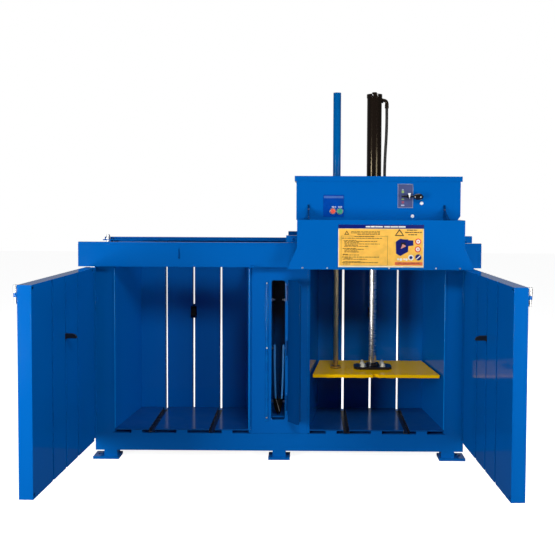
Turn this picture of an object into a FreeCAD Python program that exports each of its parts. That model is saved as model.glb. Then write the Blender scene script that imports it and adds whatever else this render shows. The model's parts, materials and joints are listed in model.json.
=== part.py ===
import FreeCAD, Part
import math
import os

os.makedirs("parts", exist_ok=True)
V = FreeCAD.Vector

# ================================================================ driving dimensions (mm)
# Machine coordinates: X to the right from the middle of the machine, Y to the rear from the
# front faces of the chamber walls, Z up from the chamber floor.
FLOOR_Z = 140.0          # chamber floor above the ground
FRONT_Y = 157.73         # puts the origin at the middle of the overall depth
SIDES = (-1, 1)          # left and right

# chambers
PITCH = 900.0            # between the two chamber centres
CHAMBER_X = PITCH / 2
OPEN_HALF = 310.0        # half the clear opening at the front
BACK_HALF = 265.5        # half the clear width at the back wall
DEPTH = 375.0            # from the opening to the back wall
WALL_T = 8.0
WALL_TOP = 750.0
WALL_FOOT = -16.0
BACK_T = 5.0             # sheet of the back walls
FIN_D = 40.0             # depth of the fins behind the back walls
STRAP = 139.0            # spacing of the strapping slots
SLOT_W = 12.0            # strapping slots in the back walls
FLOOR_T = 6.0
FLOOR_GAP = 0.5          # between floor sheet and walls
CHANNEL_HALF = 14.0      # strapping channels in the floor
CHANNEL_T = 2.0

# body
BODY_HALF = 850.0        # half the width over the outer pillars
BODY_Y1 = 430.0          # rear of the body
BODY_FOOT = -20.0        # lower edge of pillars and column
SHEET = 6.0              # front sheets of pillars and column
COLUMN_HALF = CHAMBER_X - OPEN_HALF - WALL_T
PILLAR_X0 = CHAMBER_X + OPEN_HALF + WALL_T

# base frame and feet
BASE_Z0 = -100.0
BEAM_W = 60.0
TUBE_T = 4.0
BAY_X0 = 60.0            # open bay between the beams, on each side
BAY_X1 = 790.0
BEARER_HALF = 25.0
BEARER_X = STRAP + 70.0
FOOT_X = 780.0           # outer posts
FOOT_HALF = 30.0
PAD_X = 800.0            # outer foot plates
PAD_T = 12.0
PAD_DEPTH = 40.0         # half their depth
FOOT_YS = (30.0, 400.0)
ANCHOR_X = 835.0
ANCHOR_R = 9.0

# slot of the tool pocket in the column, its lip and its hinged cover
POCKET_X0, POCKET_X1 = -37.0, 26.0
POCKET_Z0, POCKET_Z1 = 45.0, 692.0
POCKET_Y1 = 369.0
POCKET_CORNER = 12.0
LINER_T = 3.0
SHELF_Z = 54.0           # what the strap cutter stands on
POCKET_BOLT_Y = 60.0
POCKET_BOLT_L = 14.0
CUTTER_TOP = 390.0
CUTTER_GRIP_Z = 140.0    # where the cutter's grips meet its jaws
LIP_X0, LIP_X1 = -62.0, -54.0
LIP_Y = -6.0
COVER_X, COVER_Y = 34.0, -7.0
COVER_W = 96.0
COVER_T = 2.5
COVER_Y0 = -12.0         # front of the closed cover
COVER_OPEN = 126.0       # degrees
COVER_HINGES = (90.0, 345.0, 598.0)
COVER_HINGE_L = 70.0

# rails
RAIL_HALF = 914.0
RAIL_Z0 = 755.0
RAIL_Z1 = 856.0
RAIL_T = 5.0
RAIL_D = 60.0
FRONT_RAIL_Y = -40.0     # front face of the front rail
REAR_RAIL_Y = 385.0      # front edge of the rear rail's flanges
OVERHANG = 35.0          # the rear rail's upper flange runs on past its web
BAR_W = 20.0             # running bars
BAR_Z1 = 867.0
STOP_X = 889.0           # end stops of the head's travel
STOP_Y = REAR_RAIL_Y + 12
STOP_R = 8.0
RAIL_SLOT_X = 455.0      # upright slots in the front rail
RAIL_SLOT_HALF = 4.0
RAIL_SLOT_Z0, RAIL_SLOT_Z1 = 793.0, 837.0

# doors
DOOR_L = 740.0           # hinge axis to free edge
SKIN_Y = -55.0           # front of the closed door
PAN_Y0, PAN_Y1 = -6.0, -2.0
DOOR_SHEET = 5.0
DOOR_TOP = 752.0
DOOR_BOT = -30.0
PAN_START = 60.0         # hinge axis to the inner pan
HINGE_X, HINGE_Y = 855.0, -30.0
HINGE_ZS = (90.0, 610.0)
LUG_T = 14.0
KNUCKLE_R = 14.0
KNUCKLE_L = 58.0
PIN_R = 8.0
DOOR_OPEN = 92.9         # degrees
GROOVE_HALF = 7.0
GROOVE_Y = -15.0
LATCH_T = DOOR_L - 7     # hinge axis to the bolt in the door's corner
LATCH_Y = -61.5
LATCH_R = 6.0
CLAW_Z = 500.0
STIFFENER_ZS = (190.0, 545.0)
HANDLE_T = 560.0         # hinge axis to the handle
HANDLE_Z0, HANDLE_Z1 = 330.0, 520.0
HANDLE_GAP = 38.0        # skin to the handle's axis
TUBE_Z0, TUBE_Z1 = 708.0, 751.0

# press head
HEAD_X = CHAMBER_X       # the head stands over the right chamber
RAM_X, RAM_Y = HEAD_X - 5, 190.0
GUIDE_X = HEAD_X - 183.5
CARRIAGE_HALF = 366.0
CARRIAGE_Y0, CARRIAGE_Y1 = -60.0, 455.0
CARRIAGE_Z0, CARRIAGE_Z1 = 900.0, 970.0
BRIDGE_Z = CARRIAGE_Z1 - 24.0
ROLLER_X = 392.0
ROLLER_R = 13.7
ROLLER_Z = BAR_Z1 + ROLLER_R + 0.3
FRONT_ROLLER_Y = FRONT_RAIL_Y + 12
REAR_ROLLER_Y = REAR_RAIL_Y + RAIL_D - 12
HOOD_Y = -134.0
HOOD_T = 4.0
HOOD_Z0, HOOD_Z1 = 755.0, 974.0
HOOD_HALF = 370.0        # upper part of the hood
HOOD_FLARE = 413.0       # lower edge of the hood
HOOD_BEND = 850.0        # where the flare starts
LABEL_HALF = 188.0
LABEL_Z0, LABEL_Z1 = 766.0, 954.0
LABEL_T = 1.2
BOX_HALF = 375.0         # control housing
BOX_Z0, BOX_Z1 = 970.0, 1147.0
BOX_Y1 = 400.0
BOX_T = 3.0
LID_Z1 = 1171.0
LID_SIDE = 8.0           # the lid stands over the housing at the sides and rear
LID_FRONT = 2.0

# hydraulic cylinder, guide and hose
BARREL_R, BORE_R = 35.0, 25.0
BARREL_Z0, BARREL_Z1 = 876.0, 1550.0
CAP_T = 17.0
GLAND_R = 24.0
GLAND_L = 26.0
ROD_R = 18.0
PISTON_Z = 926.0         # underside of the piston as it stands
PISTON_L = 36.0
GUIDE_R = 12.0
SLEEVE_R = 18.5
SLEEVE_Z0, SLEEVE_Z1 = 886.0, 1574.0
PORT_Z = 1539.0
HOSE_R = 7.0
HOSE_DX = 59.0           # hose beside the cylinder axis at the top
HOSE_LOW_DX = 51.0       # and where it enters the lid
ELBOW_R = 14.0
FERRULE_L = 24.0

# ram
PLATEN_Z = 248.0         # top of the platen as it stands
PLATEN_T = 14.0
PLATEN_Y0, PLATEN_Y1 = 40.0, 360.0
PLATEN_FRONT, PLATEN_REAR = 295.0, 258.0
NOTCH_X = HEAD_X - 2     # lets the claw of a closed door pass
NOTCH_R = 14.0
FLANGE_HALF, FLANGE_DEPTH = 90.0, 46.0
FLANGE_T = 12.0
FLANGE_CORNER = 16.0
STUD_X, STUD_Y = 48.0, 28.0

# controls on the front of the housing, from the middle of the head
PANEL_DX0, PANEL_DX1 = -252.0, -158.0
PANEL_Z0, PANEL_Z1 = 984.0, 1085.0
STOP_DX, START_DX = -208.0, -176.0
BUTTON_Z = 1010.0
BUTTON_R = 12.0
PLATE_DX0, PLATE_DX1 = 88.0, 157.0
PLATE_Z0, PLATE_Z1 = 1027.0, 1136.0
LEVER_DX, LEVER_Z = 134.0, 1079.0


# ================================================================ shapes
def box(x0, x1, y0, y1, z0, z1):
    return Part.makeBox(x1 - x0, y1 - y0, z1 - z0, V(x0, y0, z0))


def side_box(s, x0, x1, y0, y1, z0, z1):
    """A box on the left (s = -1) or right (s = 1) side; x0 and x1 count from the middle."""
    return box(min(s * x0, s * x1), max(s * x0, s * x1), y0, y1, z0, z1)


def cyl(x, y, z0, z1, r):
    return Part.makeCylinder(r, z1 - z0, V(x, y, z0), V(0, 0, 1))


def cyl_x(x0, x1, y, z, r):
    return Part.makeCylinder(r, x1 - x0, V(x0, y, z), V(1, 0, 0))


def cyl_y(x, y0, y1, z, r):
    return Part.makeCylinder(r, y1 - y0, V(x, y0, z), V(0, 1, 0))


def ring(x, y, z0, z1, outer, inner):
    return cyl(x, y, z0, z1, outer).cut(cyl(x, y, z0 - 1, z1 + 1, inner))


def prism(points, direction):
    vectors = [V(*p) for p in points]
    wire = Part.makePolygon(vectors + [vectors[0]])
    return Part.Face(wire).extrude(V(*direction))


def plan(points, z0, z1):
    """Extrudes an outline in X and Y upwards."""
    return prism([(x, y, z0) for x, y in points], (0, 0, z1 - z0))


def front(points, y0, y1):
    """Extrudes an outline in X and Z to the rear."""
    return prism([(x, y0, z) for x, z in points], (0, y1 - y0, 0))


def side(points, x0, x1):
    """Extrudes an outline in Y and Z to the right."""
    return prism([(x0, y, z) for y, z in points], (x1 - x0, 0, 0))


def hexagon(x, y, z0, z1, r):
    corners = []
    for k in range(6):
        a = math.radians(60 * k + 15)
        corners.append((x + r * math.cos(a), y + r * math.sin(a)))
    return plan(corners, z0, z1)


def fuse(shapes):
    out = shapes[0]
    for s in shapes[1:]:
        out = out.fuse(s)
    return out.removeSplitter()


def group(shapes):
    return Part.makeCompound(shapes)


def mirror(shape):
    return shape.mirror(V(0, 0, 0), V(1, 0, 0))


def both(shape):
    return [shape, mirror(shape)]


def fillet(shape, radius, test):
    return shape.makeFillet(radius, [e for e in shape.Edges if test(e.BoundBox)])


saved = {}


def save(name, shape):
    moved = shape.copy()
    moved.translate(V(0, FRONT_Y, FLOOR_Z))
    saved[name] = moved
    moved.exportStep("parts/" + name + ".step")


# ================================================================ base frame and feet
def base_frame():
    """Tube frame with an open bay under each chamber and bearers under the floors."""
    frame = box(-BODY_HALF, BODY_HALF, 0, BODY_Y1, BASE_Z0, BODY_FOOT)
    for s in SIDES:
        frame = frame.cut(side_box(s, BAY_X0, BAY_X1, BEAM_W, BODY_Y1 - BEAM_W,
                                   BASE_Z0 - 1, BODY_FOOT + 1))
    beams = (0, BODY_Y1 - BEAM_W)
    for y in beams:
        frame = frame.cut(box(-BODY_HALF - 1, BODY_HALF + 1, y + TUBE_T, y + BEAM_W - TUBE_T,
                              BASE_Z0 + TUBE_T, BODY_FOOT - TUBE_T))
    parts = [frame]
    for s in SIDES:
        for y in beams:
            parts.append(side_box(s, BODY_HALF - TUBE_T, BODY_HALF, y, y + BEAM_W, BASE_Z0, BODY_FOOT))
        for offset in (-BEARER_X, 0, BEARER_X):
            x = s * CHAMBER_X + offset
            parts.append(box(x - BEARER_HALF, x + BEARER_HALF, 0, DEPTH - 1, BODY_FOOT, -FLOOR_T))
    return fuse(parts)


def foot(x, y, pad_x, pad_half):
    post = box(x - FOOT_HALF, x + FOOT_HALF, y - FOOT_HALF, y + FOOT_HALF, PAD_T - FLOOR_Z, BASE_Z0)
    pad = box(pad_x - pad_half, pad_x + pad_half, y - PAD_DEPTH, y + PAD_DEPTH, -FLOOR_Z, PAD_T - FLOOR_Z)
    return fuse([post, pad])


def foot_plates():
    feet = []
    for y in FOOT_YS:
        outer = foot(FOOT_X, y, PAD_X, 60.0)
        outer = outer.cut(cyl(ANCHOR_X, y, -FLOOR_Z - 1, PAD_T - FLOOR_Z + 1, ANCHOR_R))
        feet.extend(both(outer))
        feet.append(foot(0, y, 0, 50.0))
    return group(feet)


save("base_frame", base_frame())
save("foot_plates", foot_plates())


# ================================================================ chamber floors and walls
def floor_sheets(cx):
    """A floor sheet, parted by its two strapping channels."""
    sheet = plan([(cx - OPEN_HALF + FLOOR_GAP, 0), (cx + OPEN_HALF - FLOOR_GAP, 0),
                  (cx + BACK_HALF - FLOOR_GAP, DEPTH), (cx - BACK_HALF + FLOOR_GAP, DEPTH)], -FLOOR_T, 0)
    for x in (cx - STRAP, cx + STRAP):
        sheet = sheet.cut(box(x - CHANNEL_HALF, x + CHANNEL_HALF, -1, DEPTH + 1, -FLOOR_T - 1, 1))
    return sheet.Solids


def strap_channel(x):
    inner = CHANNEL_HALF - CHANNEL_T
    outer = box(x - CHANNEL_HALF, x + CHANNEL_HALF, 0, DEPTH, WALL_FOOT, -1)
    return outer.cut(box(x - inner, x + inner, -1, DEPTH + 1, WALL_FOOT + CHANNEL_T, 0))


DOG_Y = DEPTH + 18       # hinge of the retaining dogs, behind the back wall
DOG_Z = 504.0
DOG_HALF = 12.0
WINDOW_HALF = 15.0       # window in the back wall that a dog looks through
WINDOW_Z0, WINDOW_Z1 = 457.0, 520.0
TAB_T = 5.0


def back_strip(cx, k):
    """One of the four upright strips of a back wall, with fins along its strapping slots."""
    edges = [-BACK_HALF, -STRAP, 0.0, STRAP, BACK_HALF]
    x0 = cx + edges[k] + (SLOT_W / 2 if k > 0 else 0)
    x1 = cx + edges[k + 1] - (SLOT_W / 2 if k < 3 else 0)
    rear = DEPTH + FIN_D
    parts = [box(x0, x1, DEPTH, DEPTH + BACK_T, WALL_FOOT, WALL_TOP),
             box(x0, x1, DEPTH, rear, WALL_TOP - BACK_T, WALL_TOP)]
    if k > 0:
        parts.append(box(x0, x0 + BACK_T, DEPTH, rear, WALL_FOOT, WALL_TOP))
    if k < 3:
        parts.append(box(x1 - BACK_T, x1, DEPTH, rear, WALL_FOOT, WALL_TOP))
    strip = fuse(parts)
    strip = strip.cut(box(cx - WINDOW_HALF, cx + WINDOW_HALF, DEPTH - 1, rear + 10, WINDOW_Z0, WINDOW_Z1))
    if k in (1, 2):
        s = -1 if k == 1 else 1
        tab_x = cx + s * (WINDOW_HALF + TAB_T / 2)
        tab = box(tab_x - TAB_T / 2, tab_x + TAB_T / 2, DEPTH + 2, rear, WINDOW_Z0 - 6, WINDOW_Z1 + 6)
        strip = fuse([strip, tab]).cut(cyl_x(tab_x - TAB_T, tab_x + TAB_T, DOG_Y, DOG_Z, 4.0))
    return strip


def retaining_dog(cx):
    """A sprung dog that keeps pressed material down, with its pin."""
    nose = side([(DOG_Y - 8, DOG_Z + 10), (DOG_Y + 8, DOG_Z + 10), (DOG_Y + 10, DOG_Z - 34),
                 (DEPTH - 8, DOG_Z - 36), (DEPTH - 12, DOG_Z - 30), (DEPTH + 4, DOG_Z + 4)],
                cx - DOG_HALF, cx + DOG_HALF)
    reach = WINDOW_HALF + TAB_T - 0.5
    return fuse([nose, cyl_x(cx - reach, cx + reach, DOG_Y, DOG_Z, 3.94)])


def chamber_wall(s):
    """The right chamber's wall on its outer (s = 1) or inner (s = -1) side."""
    y1 = DEPTH + BACK_T
    return plan([(CHAMBER_X + s * OPEN_HALF, -1), (CHAMBER_X + s * (OPEN_HALF + WALL_T), -1),
                 (CHAMBER_X + s * (BACK_HALF + WALL_T), y1), (CHAMBER_X + s * BACK_HALF, y1),
                 (CHAMBER_X + s * BACK_HALF, DEPTH)], WALL_FOOT, WALL_TOP)


floors = []
channels = []
backs = []
for s in SIDES:
    cx = s * CHAMBER_X
    floors.extend(floor_sheets(cx))
    channels.extend([strap_channel(cx - STRAP), strap_channel(cx + STRAP)])
    backs.extend([back_strip(cx, k) for k in range(4)])
save("chamber_floors", group(floors))
save("strap_channels", group(channels))
save("back_walls", group(backs))
save("outer_walls", group(both(chamber_wall(1))))
save("inner_walls", group(both(chamber_wall(-1))))
save("left_dog", retaining_dog(-CHAMBER_X))
save("right_dog", retaining_dog(CHAMBER_X))


# ================================================================ pillars and centre column
def pillar():
    """The right outer pillar: front sheet, side sheet, rear return and rail seats."""
    side_x = BODY_HALF - SHEET
    return fuse([
        box(PILLAR_X0, BODY_HALF, 0, SHEET, BODY_FOOT, RAIL_Z0),
        box(side_x, BODY_HALF, 0, BODY_Y1, BODY_FOOT, RAIL_Z0),
        box(BODY_HALF - 46, BODY_HALF, BODY_Y1 - SHEET, BODY_Y1, BODY_FOOT, RAIL_Z0),
        box(PILLAR_X0, BODY_HALF, 0, 20, RAIL_Z0 - RAIL_T, RAIL_Z0),
        box(BODY_HALF - 60, BODY_HALF, REAR_RAIL_Y, BODY_Y1, RAIL_Z0 - SHEET, RAIL_Z0),
    ])


def cover_hinge_ends(z):
    """The column's two knuckles of a cover hinge, with the pin through them."""
    shapes = [cyl(COVER_X, COVER_Y, z - 12, z + COVER_HINGE_L + 12, 2.5)]
    for z0, z1 in ((z - 12, z - 0.5), (z + COVER_HINGE_L + 0.5, z + COVER_HINGE_L + 12)):
        shapes.append(cyl(COVER_X, COVER_Y, z0, z1, 5))
        shapes.append(box(COVER_X - 3, COVER_X + 3, COVER_Y, 0, z0, z1))
    return shapes


def centre_column():
    """Front sheet with the pocket's slot and lip, rear sheet, rail seats and cover hinges."""
    slot = box(POCKET_X0, POCKET_X1, -1, SHEET + 1, POCKET_Z0, POCKET_Z1)
    slot = fillet(slot, POCKET_CORNER, lambda b: b.XLength < 1e-6 and b.ZLength < 1e-6)
    sheet = box(-COLUMN_HALF, COLUMN_HALF, 0, SHEET, BODY_FOOT, RAIL_Z0).cut(slot)
    rear_half = 175.0
    parts = [
        sheet,
        box(-COLUMN_HALF, COLUMN_HALF, 0, 20, RAIL_Z0 - RAIL_T, RAIL_Z0),
        box(LIP_X0, LIP_X1, LIP_Y, SHEET, POCKET_Z0 - 4, POCKET_Z1 - 6),
        box(-rear_half, rear_half, DEPTH, DEPTH + BACK_T, WALL_FOOT, RAIL_Z0 - RAIL_T),
        box(-rear_half, rear_half, DEPTH, BODY_Y1, RAIL_Z0 - RAIL_T, RAIL_Z0),
        box(-COLUMN_HALF, COLUMN_HALF, 0, DEPTH + BACK_T, BODY_FOOT, WALL_FOOT),
    ]
    for z in COVER_HINGES:
        parts.extend(cover_hinge_ends(z))
    return fuse(parts)


def tool_pocket():
    liner = box(POCKET_X0 - LINER_T, POCKET_X1 + LINER_T, SHEET, POCKET_Y1 + LINER_T,
                POCKET_Z0 - LINER_T, POCKET_Z1 + LINER_T)
    liner = liner.cut(box(POCKET_X0, POCKET_X1, SHEET - 1, POCKET_Y1, POCKET_Z0, POCKET_Z1))
    shelf = box(POCKET_X0, POCKET_X1, SHEET + 4, 120, SHELF_Z, SHELF_Z + 4)
    return fuse([liner, shelf])


def pocket_bolts():
    """Bright bolts on the pocket's side walls and screws on its lip."""
    bolts = []
    for z in (595.0, 369.0, 116.0):
        for x in (POCKET_X0, POCKET_X1 - POCKET_BOLT_L):
            bolts.append(cyl_x(x, x + POCKET_BOLT_L, POCKET_BOLT_Y, z, 4.5))
    for z in (679.0, 380.0, 56.0):
        bolts.append(cyl_y((LIP_X0 + LIP_X1) / 2, LIP_Y - 2.5, LIP_Y, z, 3.5))
    return group(bolts)


def slot_cover():
    """Sheet cover with a return along its free edge and three hinge knuckles."""
    free = COVER_X - COVER_W
    corner = 18.0
    z0, z1 = POCKET_Z0 - 4, POCKET_Z1 + 3
    sheet = box(free, COVER_X - 6, COVER_Y0, COVER_Y0 + COVER_T, z0, z1)
    sheet = fillet(sheet, corner, lambda b: b.XMax < free + 0.1 and b.YLength > 1 and b.ZLength < 1)
    parts = [sheet, box(free, free + COVER_T, COVER_Y0 - 6, COVER_Y0 + COVER_T, z0 + corner, z1 - corner)]
    for z in COVER_HINGES:
        parts.append(cyl(COVER_X, COVER_Y, z, z + COVER_HINGE_L, 5))
        parts.append(box(COVER_X - 6, COVER_X, COVER_Y0, COVER_Y0 + COVER_T, z, z + COVER_HINGE_L))
    cover = fuse(parts)
    for z in COVER_HINGES:
        cover = cover.cut(cyl(COVER_X, COVER_Y, z - 1, z + COVER_HINGE_L + 1, 2.55))
    cover.rotate(V(COVER_X, COVER_Y, 0), V(0, 0, 1), COVER_OPEN)
    return cover


def cutter_handles():
    """The two grips of the strap cutter that stands in the pocket."""
    grips = []
    for x_top, x_low in ((-24, -18), (19, 11)):
        outline = [(x_top - 6, CUTTER_TOP), (x_top + 6, CUTTER_TOP),
                   (x_low + 5, CUTTER_GRIP_Z), (x_low - 5, CUTTER_GRIP_Z)]
        grips.append(front(outline, 28, 38))
    return group(grips)


def cutter_blades():
    """The cutter's closed jaws with their pivot, tip down."""
    tip = SHELF_Z + 4
    jaws = front([(-25, CUTTER_GRIP_Z), (17, CUTTER_GRIP_Z), (14, 116), (6, tip + 20),
                  (1, tip), (-6, tip), (-22, 86), (-29, 118)], 30, 36)
    return fuse([jaws, cyl_y(-4, 26, 40, CUTTER_GRIP_Z - 14, 7)])


save("pillars", group(both(pillar())))
save("centre_column", centre_column())
save("tool_pocket", tool_pocket())
save("pocket_bolts", pocket_bolts())
save("slot_cover", slot_cover())
save("cutter_handles", cutter_handles())
save("cutter_blades", cutter_blades())


# ================================================================ rails
def rail(web_y, y0, half_web):
    """A C-shaped rail: web, lower flange, end plates and an upper flange of the full length."""
    y1 = y0 + RAIL_D
    parts = [
        box(-half_web, half_web, web_y, web_y + RAIL_T, RAIL_Z0, RAIL_Z1),
        box(-half_web, half_web, y0, y1, RAIL_Z0, RAIL_Z0 + RAIL_T),
        box(-RAIL_HALF, RAIL_HALF, y0, y1, RAIL_Z1 - RAIL_T, RAIL_Z1),
    ]
    for s in SIDES:
        parts.append(side_box(s, half_web - RAIL_T, half_web, y0, y1, RAIL_Z0, RAIL_Z1))
    return fuse(parts)


def front_rail():
    """The front rail with its two upright slots and the keepers of the door bolts."""
    shape = rail(FRONT_RAIL_Y, FRONT_RAIL_Y, RAIL_HALF)
    for s in SIDES:
        x = s * RAIL_SLOT_X
        shape = shape.cut(box(x - RAIL_SLOT_HALF, x + RAIL_SLOT_HALF,
                              FRONT_RAIL_Y - 1, FRONT_RAIL_Y + RAIL_T + 1, RAIL_SLOT_Z0, RAIL_SLOT_Z1))
        x = s * (HINGE_X - LATCH_T)
        keeper = box(x - 11, x + 11, LATCH_Y - 13, FRONT_RAIL_Y, RAIL_Z0 + 2, RAIL_Z0 + 7)
        shape = fuse([shape, keeper.cut(cyl(x, LATCH_Y, RAIL_Z0, RAIL_Z0 + 10, LATCH_R + 1))])
    return shape


def rear_rail():
    """The rear rail, with holes for the end stops in its overhanging flange."""
    shape = rail(REAR_RAIL_Y + RAIL_D - RAIL_T, REAR_RAIL_Y, RAIL_HALF - OVERHANG)
    for s in SIDES:
        shape = shape.cut(cyl(s * STOP_X, STOP_Y, RAIL_Z1 - RAIL_T - 1, RAIL_Z1 + 1, STOP_R))
    return shape


def running_bars():
    bars = []
    for y in (FRONT_ROLLER_Y, REAR_ROLLER_Y):
        bars.append(box(-RAIL_HALF, RAIL_HALF, y - BAR_W / 2, y + BAR_W / 2, RAIL_Z1, BAR_Z1))
    return group(bars)


def rail_buffers():
    """Bolts through the ends of the rear rail's flange that stop the head's travel."""
    stop = fuse([
        cyl(STOP_X, STOP_Y, 844, 880, STOP_R),
        hexagon(STOP_X, STOP_Y, RAIL_Z1, RAIL_Z1 + 8, 13),
    ])
    return group(both(stop))


save("front_rail", front_rail())
save("rear_rail", rear_rail())
save("running_bars", running_bars())
save("rail_buffers", rail_buffers())


# ================================================================ doors
def hinge_lug(z):
    """A lug on the right pillar with the hinge pin that the door's knuckle turns on."""
    arm = plan([(HINGE_X - 15, HINGE_Y), (HINGE_X + 12, HINGE_Y), (HINGE_X + 12, 24),
                (BODY_HALF, 24), (BODY_HALF, 0), (HINGE_X - 15, 0)], z - LUG_T, z)
    eye = cyl(HINGE_X, HINGE_Y, z - LUG_T, z, KNUCKLE_R)
    return fuse([arm, eye, cyl(HINGE_X, HINGE_Y, z - LUG_T, z + KNUCKLE_L, PIN_R)])


def hung(shape, s):
    """Turns a closed left door's part open about the hinge, mirrored for the right door."""
    out = shape.copy()
    out.rotate(V(-HINGE_X, HINGE_Y, 0), V(0, 0, 1), -DOOR_OPEN)
    return out if s < 0 else mirror(out)


def door_box(t0, t1, y0, y1, z0, z1):
    """A box of the closed left door; t0 and t1 count from its hinge axis."""
    return box(t0 - HINGE_X, t1 - HINGE_X, y0, y1, z0, z1)


def latch_tube(shell):
    """Adds the tube that guides the door bolt, with the slit for the bolt's grip."""
    x = LATCH_T - HINGE_X
    shell = fuse([shell, cyl(x, LATCH_Y, TUBE_Z0, TUBE_Z1, LATCH_R + 3)])
    shell = shell.cut(cyl(x, LATCH_Y, TUBE_Z0 - 1, TUBE_Z1 + 1, LATCH_R + 0.3))
    return shell.cut(box(x - 12, x, LATCH_Y - 4.5, LATCH_Y + 4.5, TUBE_Z0 - 1, TUBE_Z0 + 14))


def door_shell():
    """Outer skin, box-section rim, stiffeners, hinge return, knuckles, handle and latch tube."""
    inner = SKIN_Y + DOOR_SHEET
    rim = door_box(PAN_START, DOOR_L, SKIN_Y, PAN_Y0, DOOR_BOT, DOOR_TOP)
    rim = rim.cut(door_box(PAN_START + DOOR_SHEET, DOOR_L - DOOR_SHEET, SKIN_Y - 1, PAN_Y0 + 1,
                           DOOR_BOT + DOOR_SHEET, DOOR_TOP - DOOR_SHEET))
    parts = [
        door_box(4, DOOR_L, SKIN_Y, inner, DOOR_BOT, DOOR_TOP),
        rim,
        door_box(4, PAN_START, SKIN_Y, SKIN_Y + 20, DOOR_BOT, DOOR_BOT + DOOR_SHEET),
        door_box(4, PAN_START, SKIN_Y, SKIN_Y + 20, DOOR_TOP - DOOR_SHEET, DOOR_TOP),
        door_box(16, 16 + DOOR_SHEET, SKIN_Y, PAN_Y0, DOOR_BOT, DOOR_TOP),
    ]
    for z in STIFFENER_ZS:
        parts.append(door_box(PAN_START + DOOR_SHEET, DOOR_L - DOOR_SHEET, inner, GROOVE_Y - 4,
                              z, z + DOOR_SHEET))
    for z in HINGE_ZS:
        parts.append(cyl(-HINGE_X, HINGE_Y, z + 0.5, z + KNUCKLE_L, KNUCKLE_R))
        parts.append(door_box(-8, 30, SKIN_Y, HINGE_Y - 4, z + 0.5, z + KNUCKLE_L))
    shell = fuse(parts)
    for z in HINGE_ZS:
        shell = shell.cut(cyl(-HINGE_X, HINGE_Y, z - 2, z + KNUCKLE_L + 2, PIN_R + 0.06))
    return fuse([latch_tube(shell)] + door_handle())


def door_handle():
    x = HANDLE_T - HINGE_X
    y = SKIN_Y - HANDLE_GAP
    return [cyl(x, y, HANDLE_Z0, HANDLE_Z1, 9),
            cyl_y(x, y, SKIN_Y, HANDLE_Z0 + 15, 7),
            cyl_y(x, y, SKIN_Y, HANDLE_Z1 - 15, 7)]


def door_pan():
    """Inner sheet with three strapping grooves and open corners."""
    middle = HINGE_X - CHAMBER_X
    grooves = (middle - STRAP, middle, middle + STRAP)
    wall = 3.0
    pan = door_box(PAN_START, DOOR_L, PAN_Y0, PAN_Y1, DOOR_BOT, DOOR_TOP)
    troughs = []
    for t in grooves:
        pan = pan.cut(door_box(t - GROOVE_HALF, t + GROOVE_HALF, PAN_Y0 - 1, PAN_Y1 + 1,
                               DOOR_BOT - 1, DOOR_TOP + 1))
        outer = door_box(t - GROOVE_HALF - wall, t + GROOVE_HALF + wall, GROOVE_Y - wall, PAN_Y0,
                         DOOR_BOT + 6, DOOR_TOP - 6)
        troughs.append(outer.cut(door_box(t - GROOVE_HALF, t + GROOVE_HALF, GROOVE_Y, PAN_Y0 + 1,
                                          DOOR_BOT + 5, DOOR_TOP - 5)))
    pan = fuse([pan] + troughs)
    for t in (PAN_START + 13, DOOR_L - 14):
        for z in (DOOR_BOT + 13, DOOR_TOP - 13):
            pan = pan.cut(cyl_y(t - HINGE_X, PAN_Y0 - 1, PAN_Y1 + 1, z, 7.5))
    return pan


def door_claw():
    """Claw in the middle groove that holds pressed material back when the door is closed."""
    x = -CHAMBER_X
    return side([(GROOVE_Y, CLAW_Z - 4), (GROOVE_Y, CLAW_Z + 19), (26, CLAW_Z + 19),
                 (38, CLAW_Z + 14), (46, CLAW_Z + 3), (42, CLAW_Z), (8, CLAW_Z), (-2, CLAW_Z - 4)],
                x - 6, x + 6)


def door_bolt():
    x = LATCH_T - HINGE_X
    return fuse([cyl(x, LATCH_Y, TUBE_Z0 - 24, TUBE_Z1 + 1, LATCH_R),
                 cyl_x(x - 30, x, LATCH_Y, TUBE_Z0 - 18, 4)])


lugs = []
for z in HINGE_ZS:
    lugs.extend(both(hinge_lug(z)))
save("hinge_lugs", group(lugs))
for s, tag in ((-1, "left"), (1, "right")):
    save(tag + "_door_shell", hung(door_shell(), s))
    save(tag + "_door_pan", hung(door_pan(), s))
    save(tag + "_door_hook", hung(door_claw(), s))
    save(tag + "_door_bolt", hung(door_bolt(), s))


# ================================================================ carriage of the press head
def carriage_frame():
    """Frame open below, with the bridge that carries cylinder and guide sleeve."""
    x0, x1 = HEAD_X - CARRIAGE_HALF, HEAD_X + CARRIAGE_HALF
    t = 6.0
    opening = 305.0
    shape = box(x0, x1, CARRIAGE_Y0, CARRIAGE_Y1, CARRIAGE_Z0, CARRIAGE_Z1)
    shape = shape.cut(box(x0 + t, x1 - t, CARRIAGE_Y0 + t, CARRIAGE_Y1 - t,
                          CARRIAGE_Z0 - 1, CARRIAGE_Z1 - t))
    shape = shape.cut(box(HEAD_X - opening, HEAD_X + opening, 30, 370,
                          CARRIAGE_Z1 - t - 1, CARRIAGE_Z1 + 1))
    bridge = box(HEAD_X - opening - 1, HEAD_X + opening + 1, RAM_Y - 60, RAM_Y + 60,
                 BRIDGE_Z, CARRIAGE_Z1)
    for x, r in ((RAM_X, BARREL_R), (GUIDE_X, SLEEVE_R)):
        bridge = bridge.cut(cyl(x, RAM_Y, BRIDGE_Z - 1, CARRIAGE_Z1 + 1, r + 0.4))
    return fuse([shape, bridge])


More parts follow.
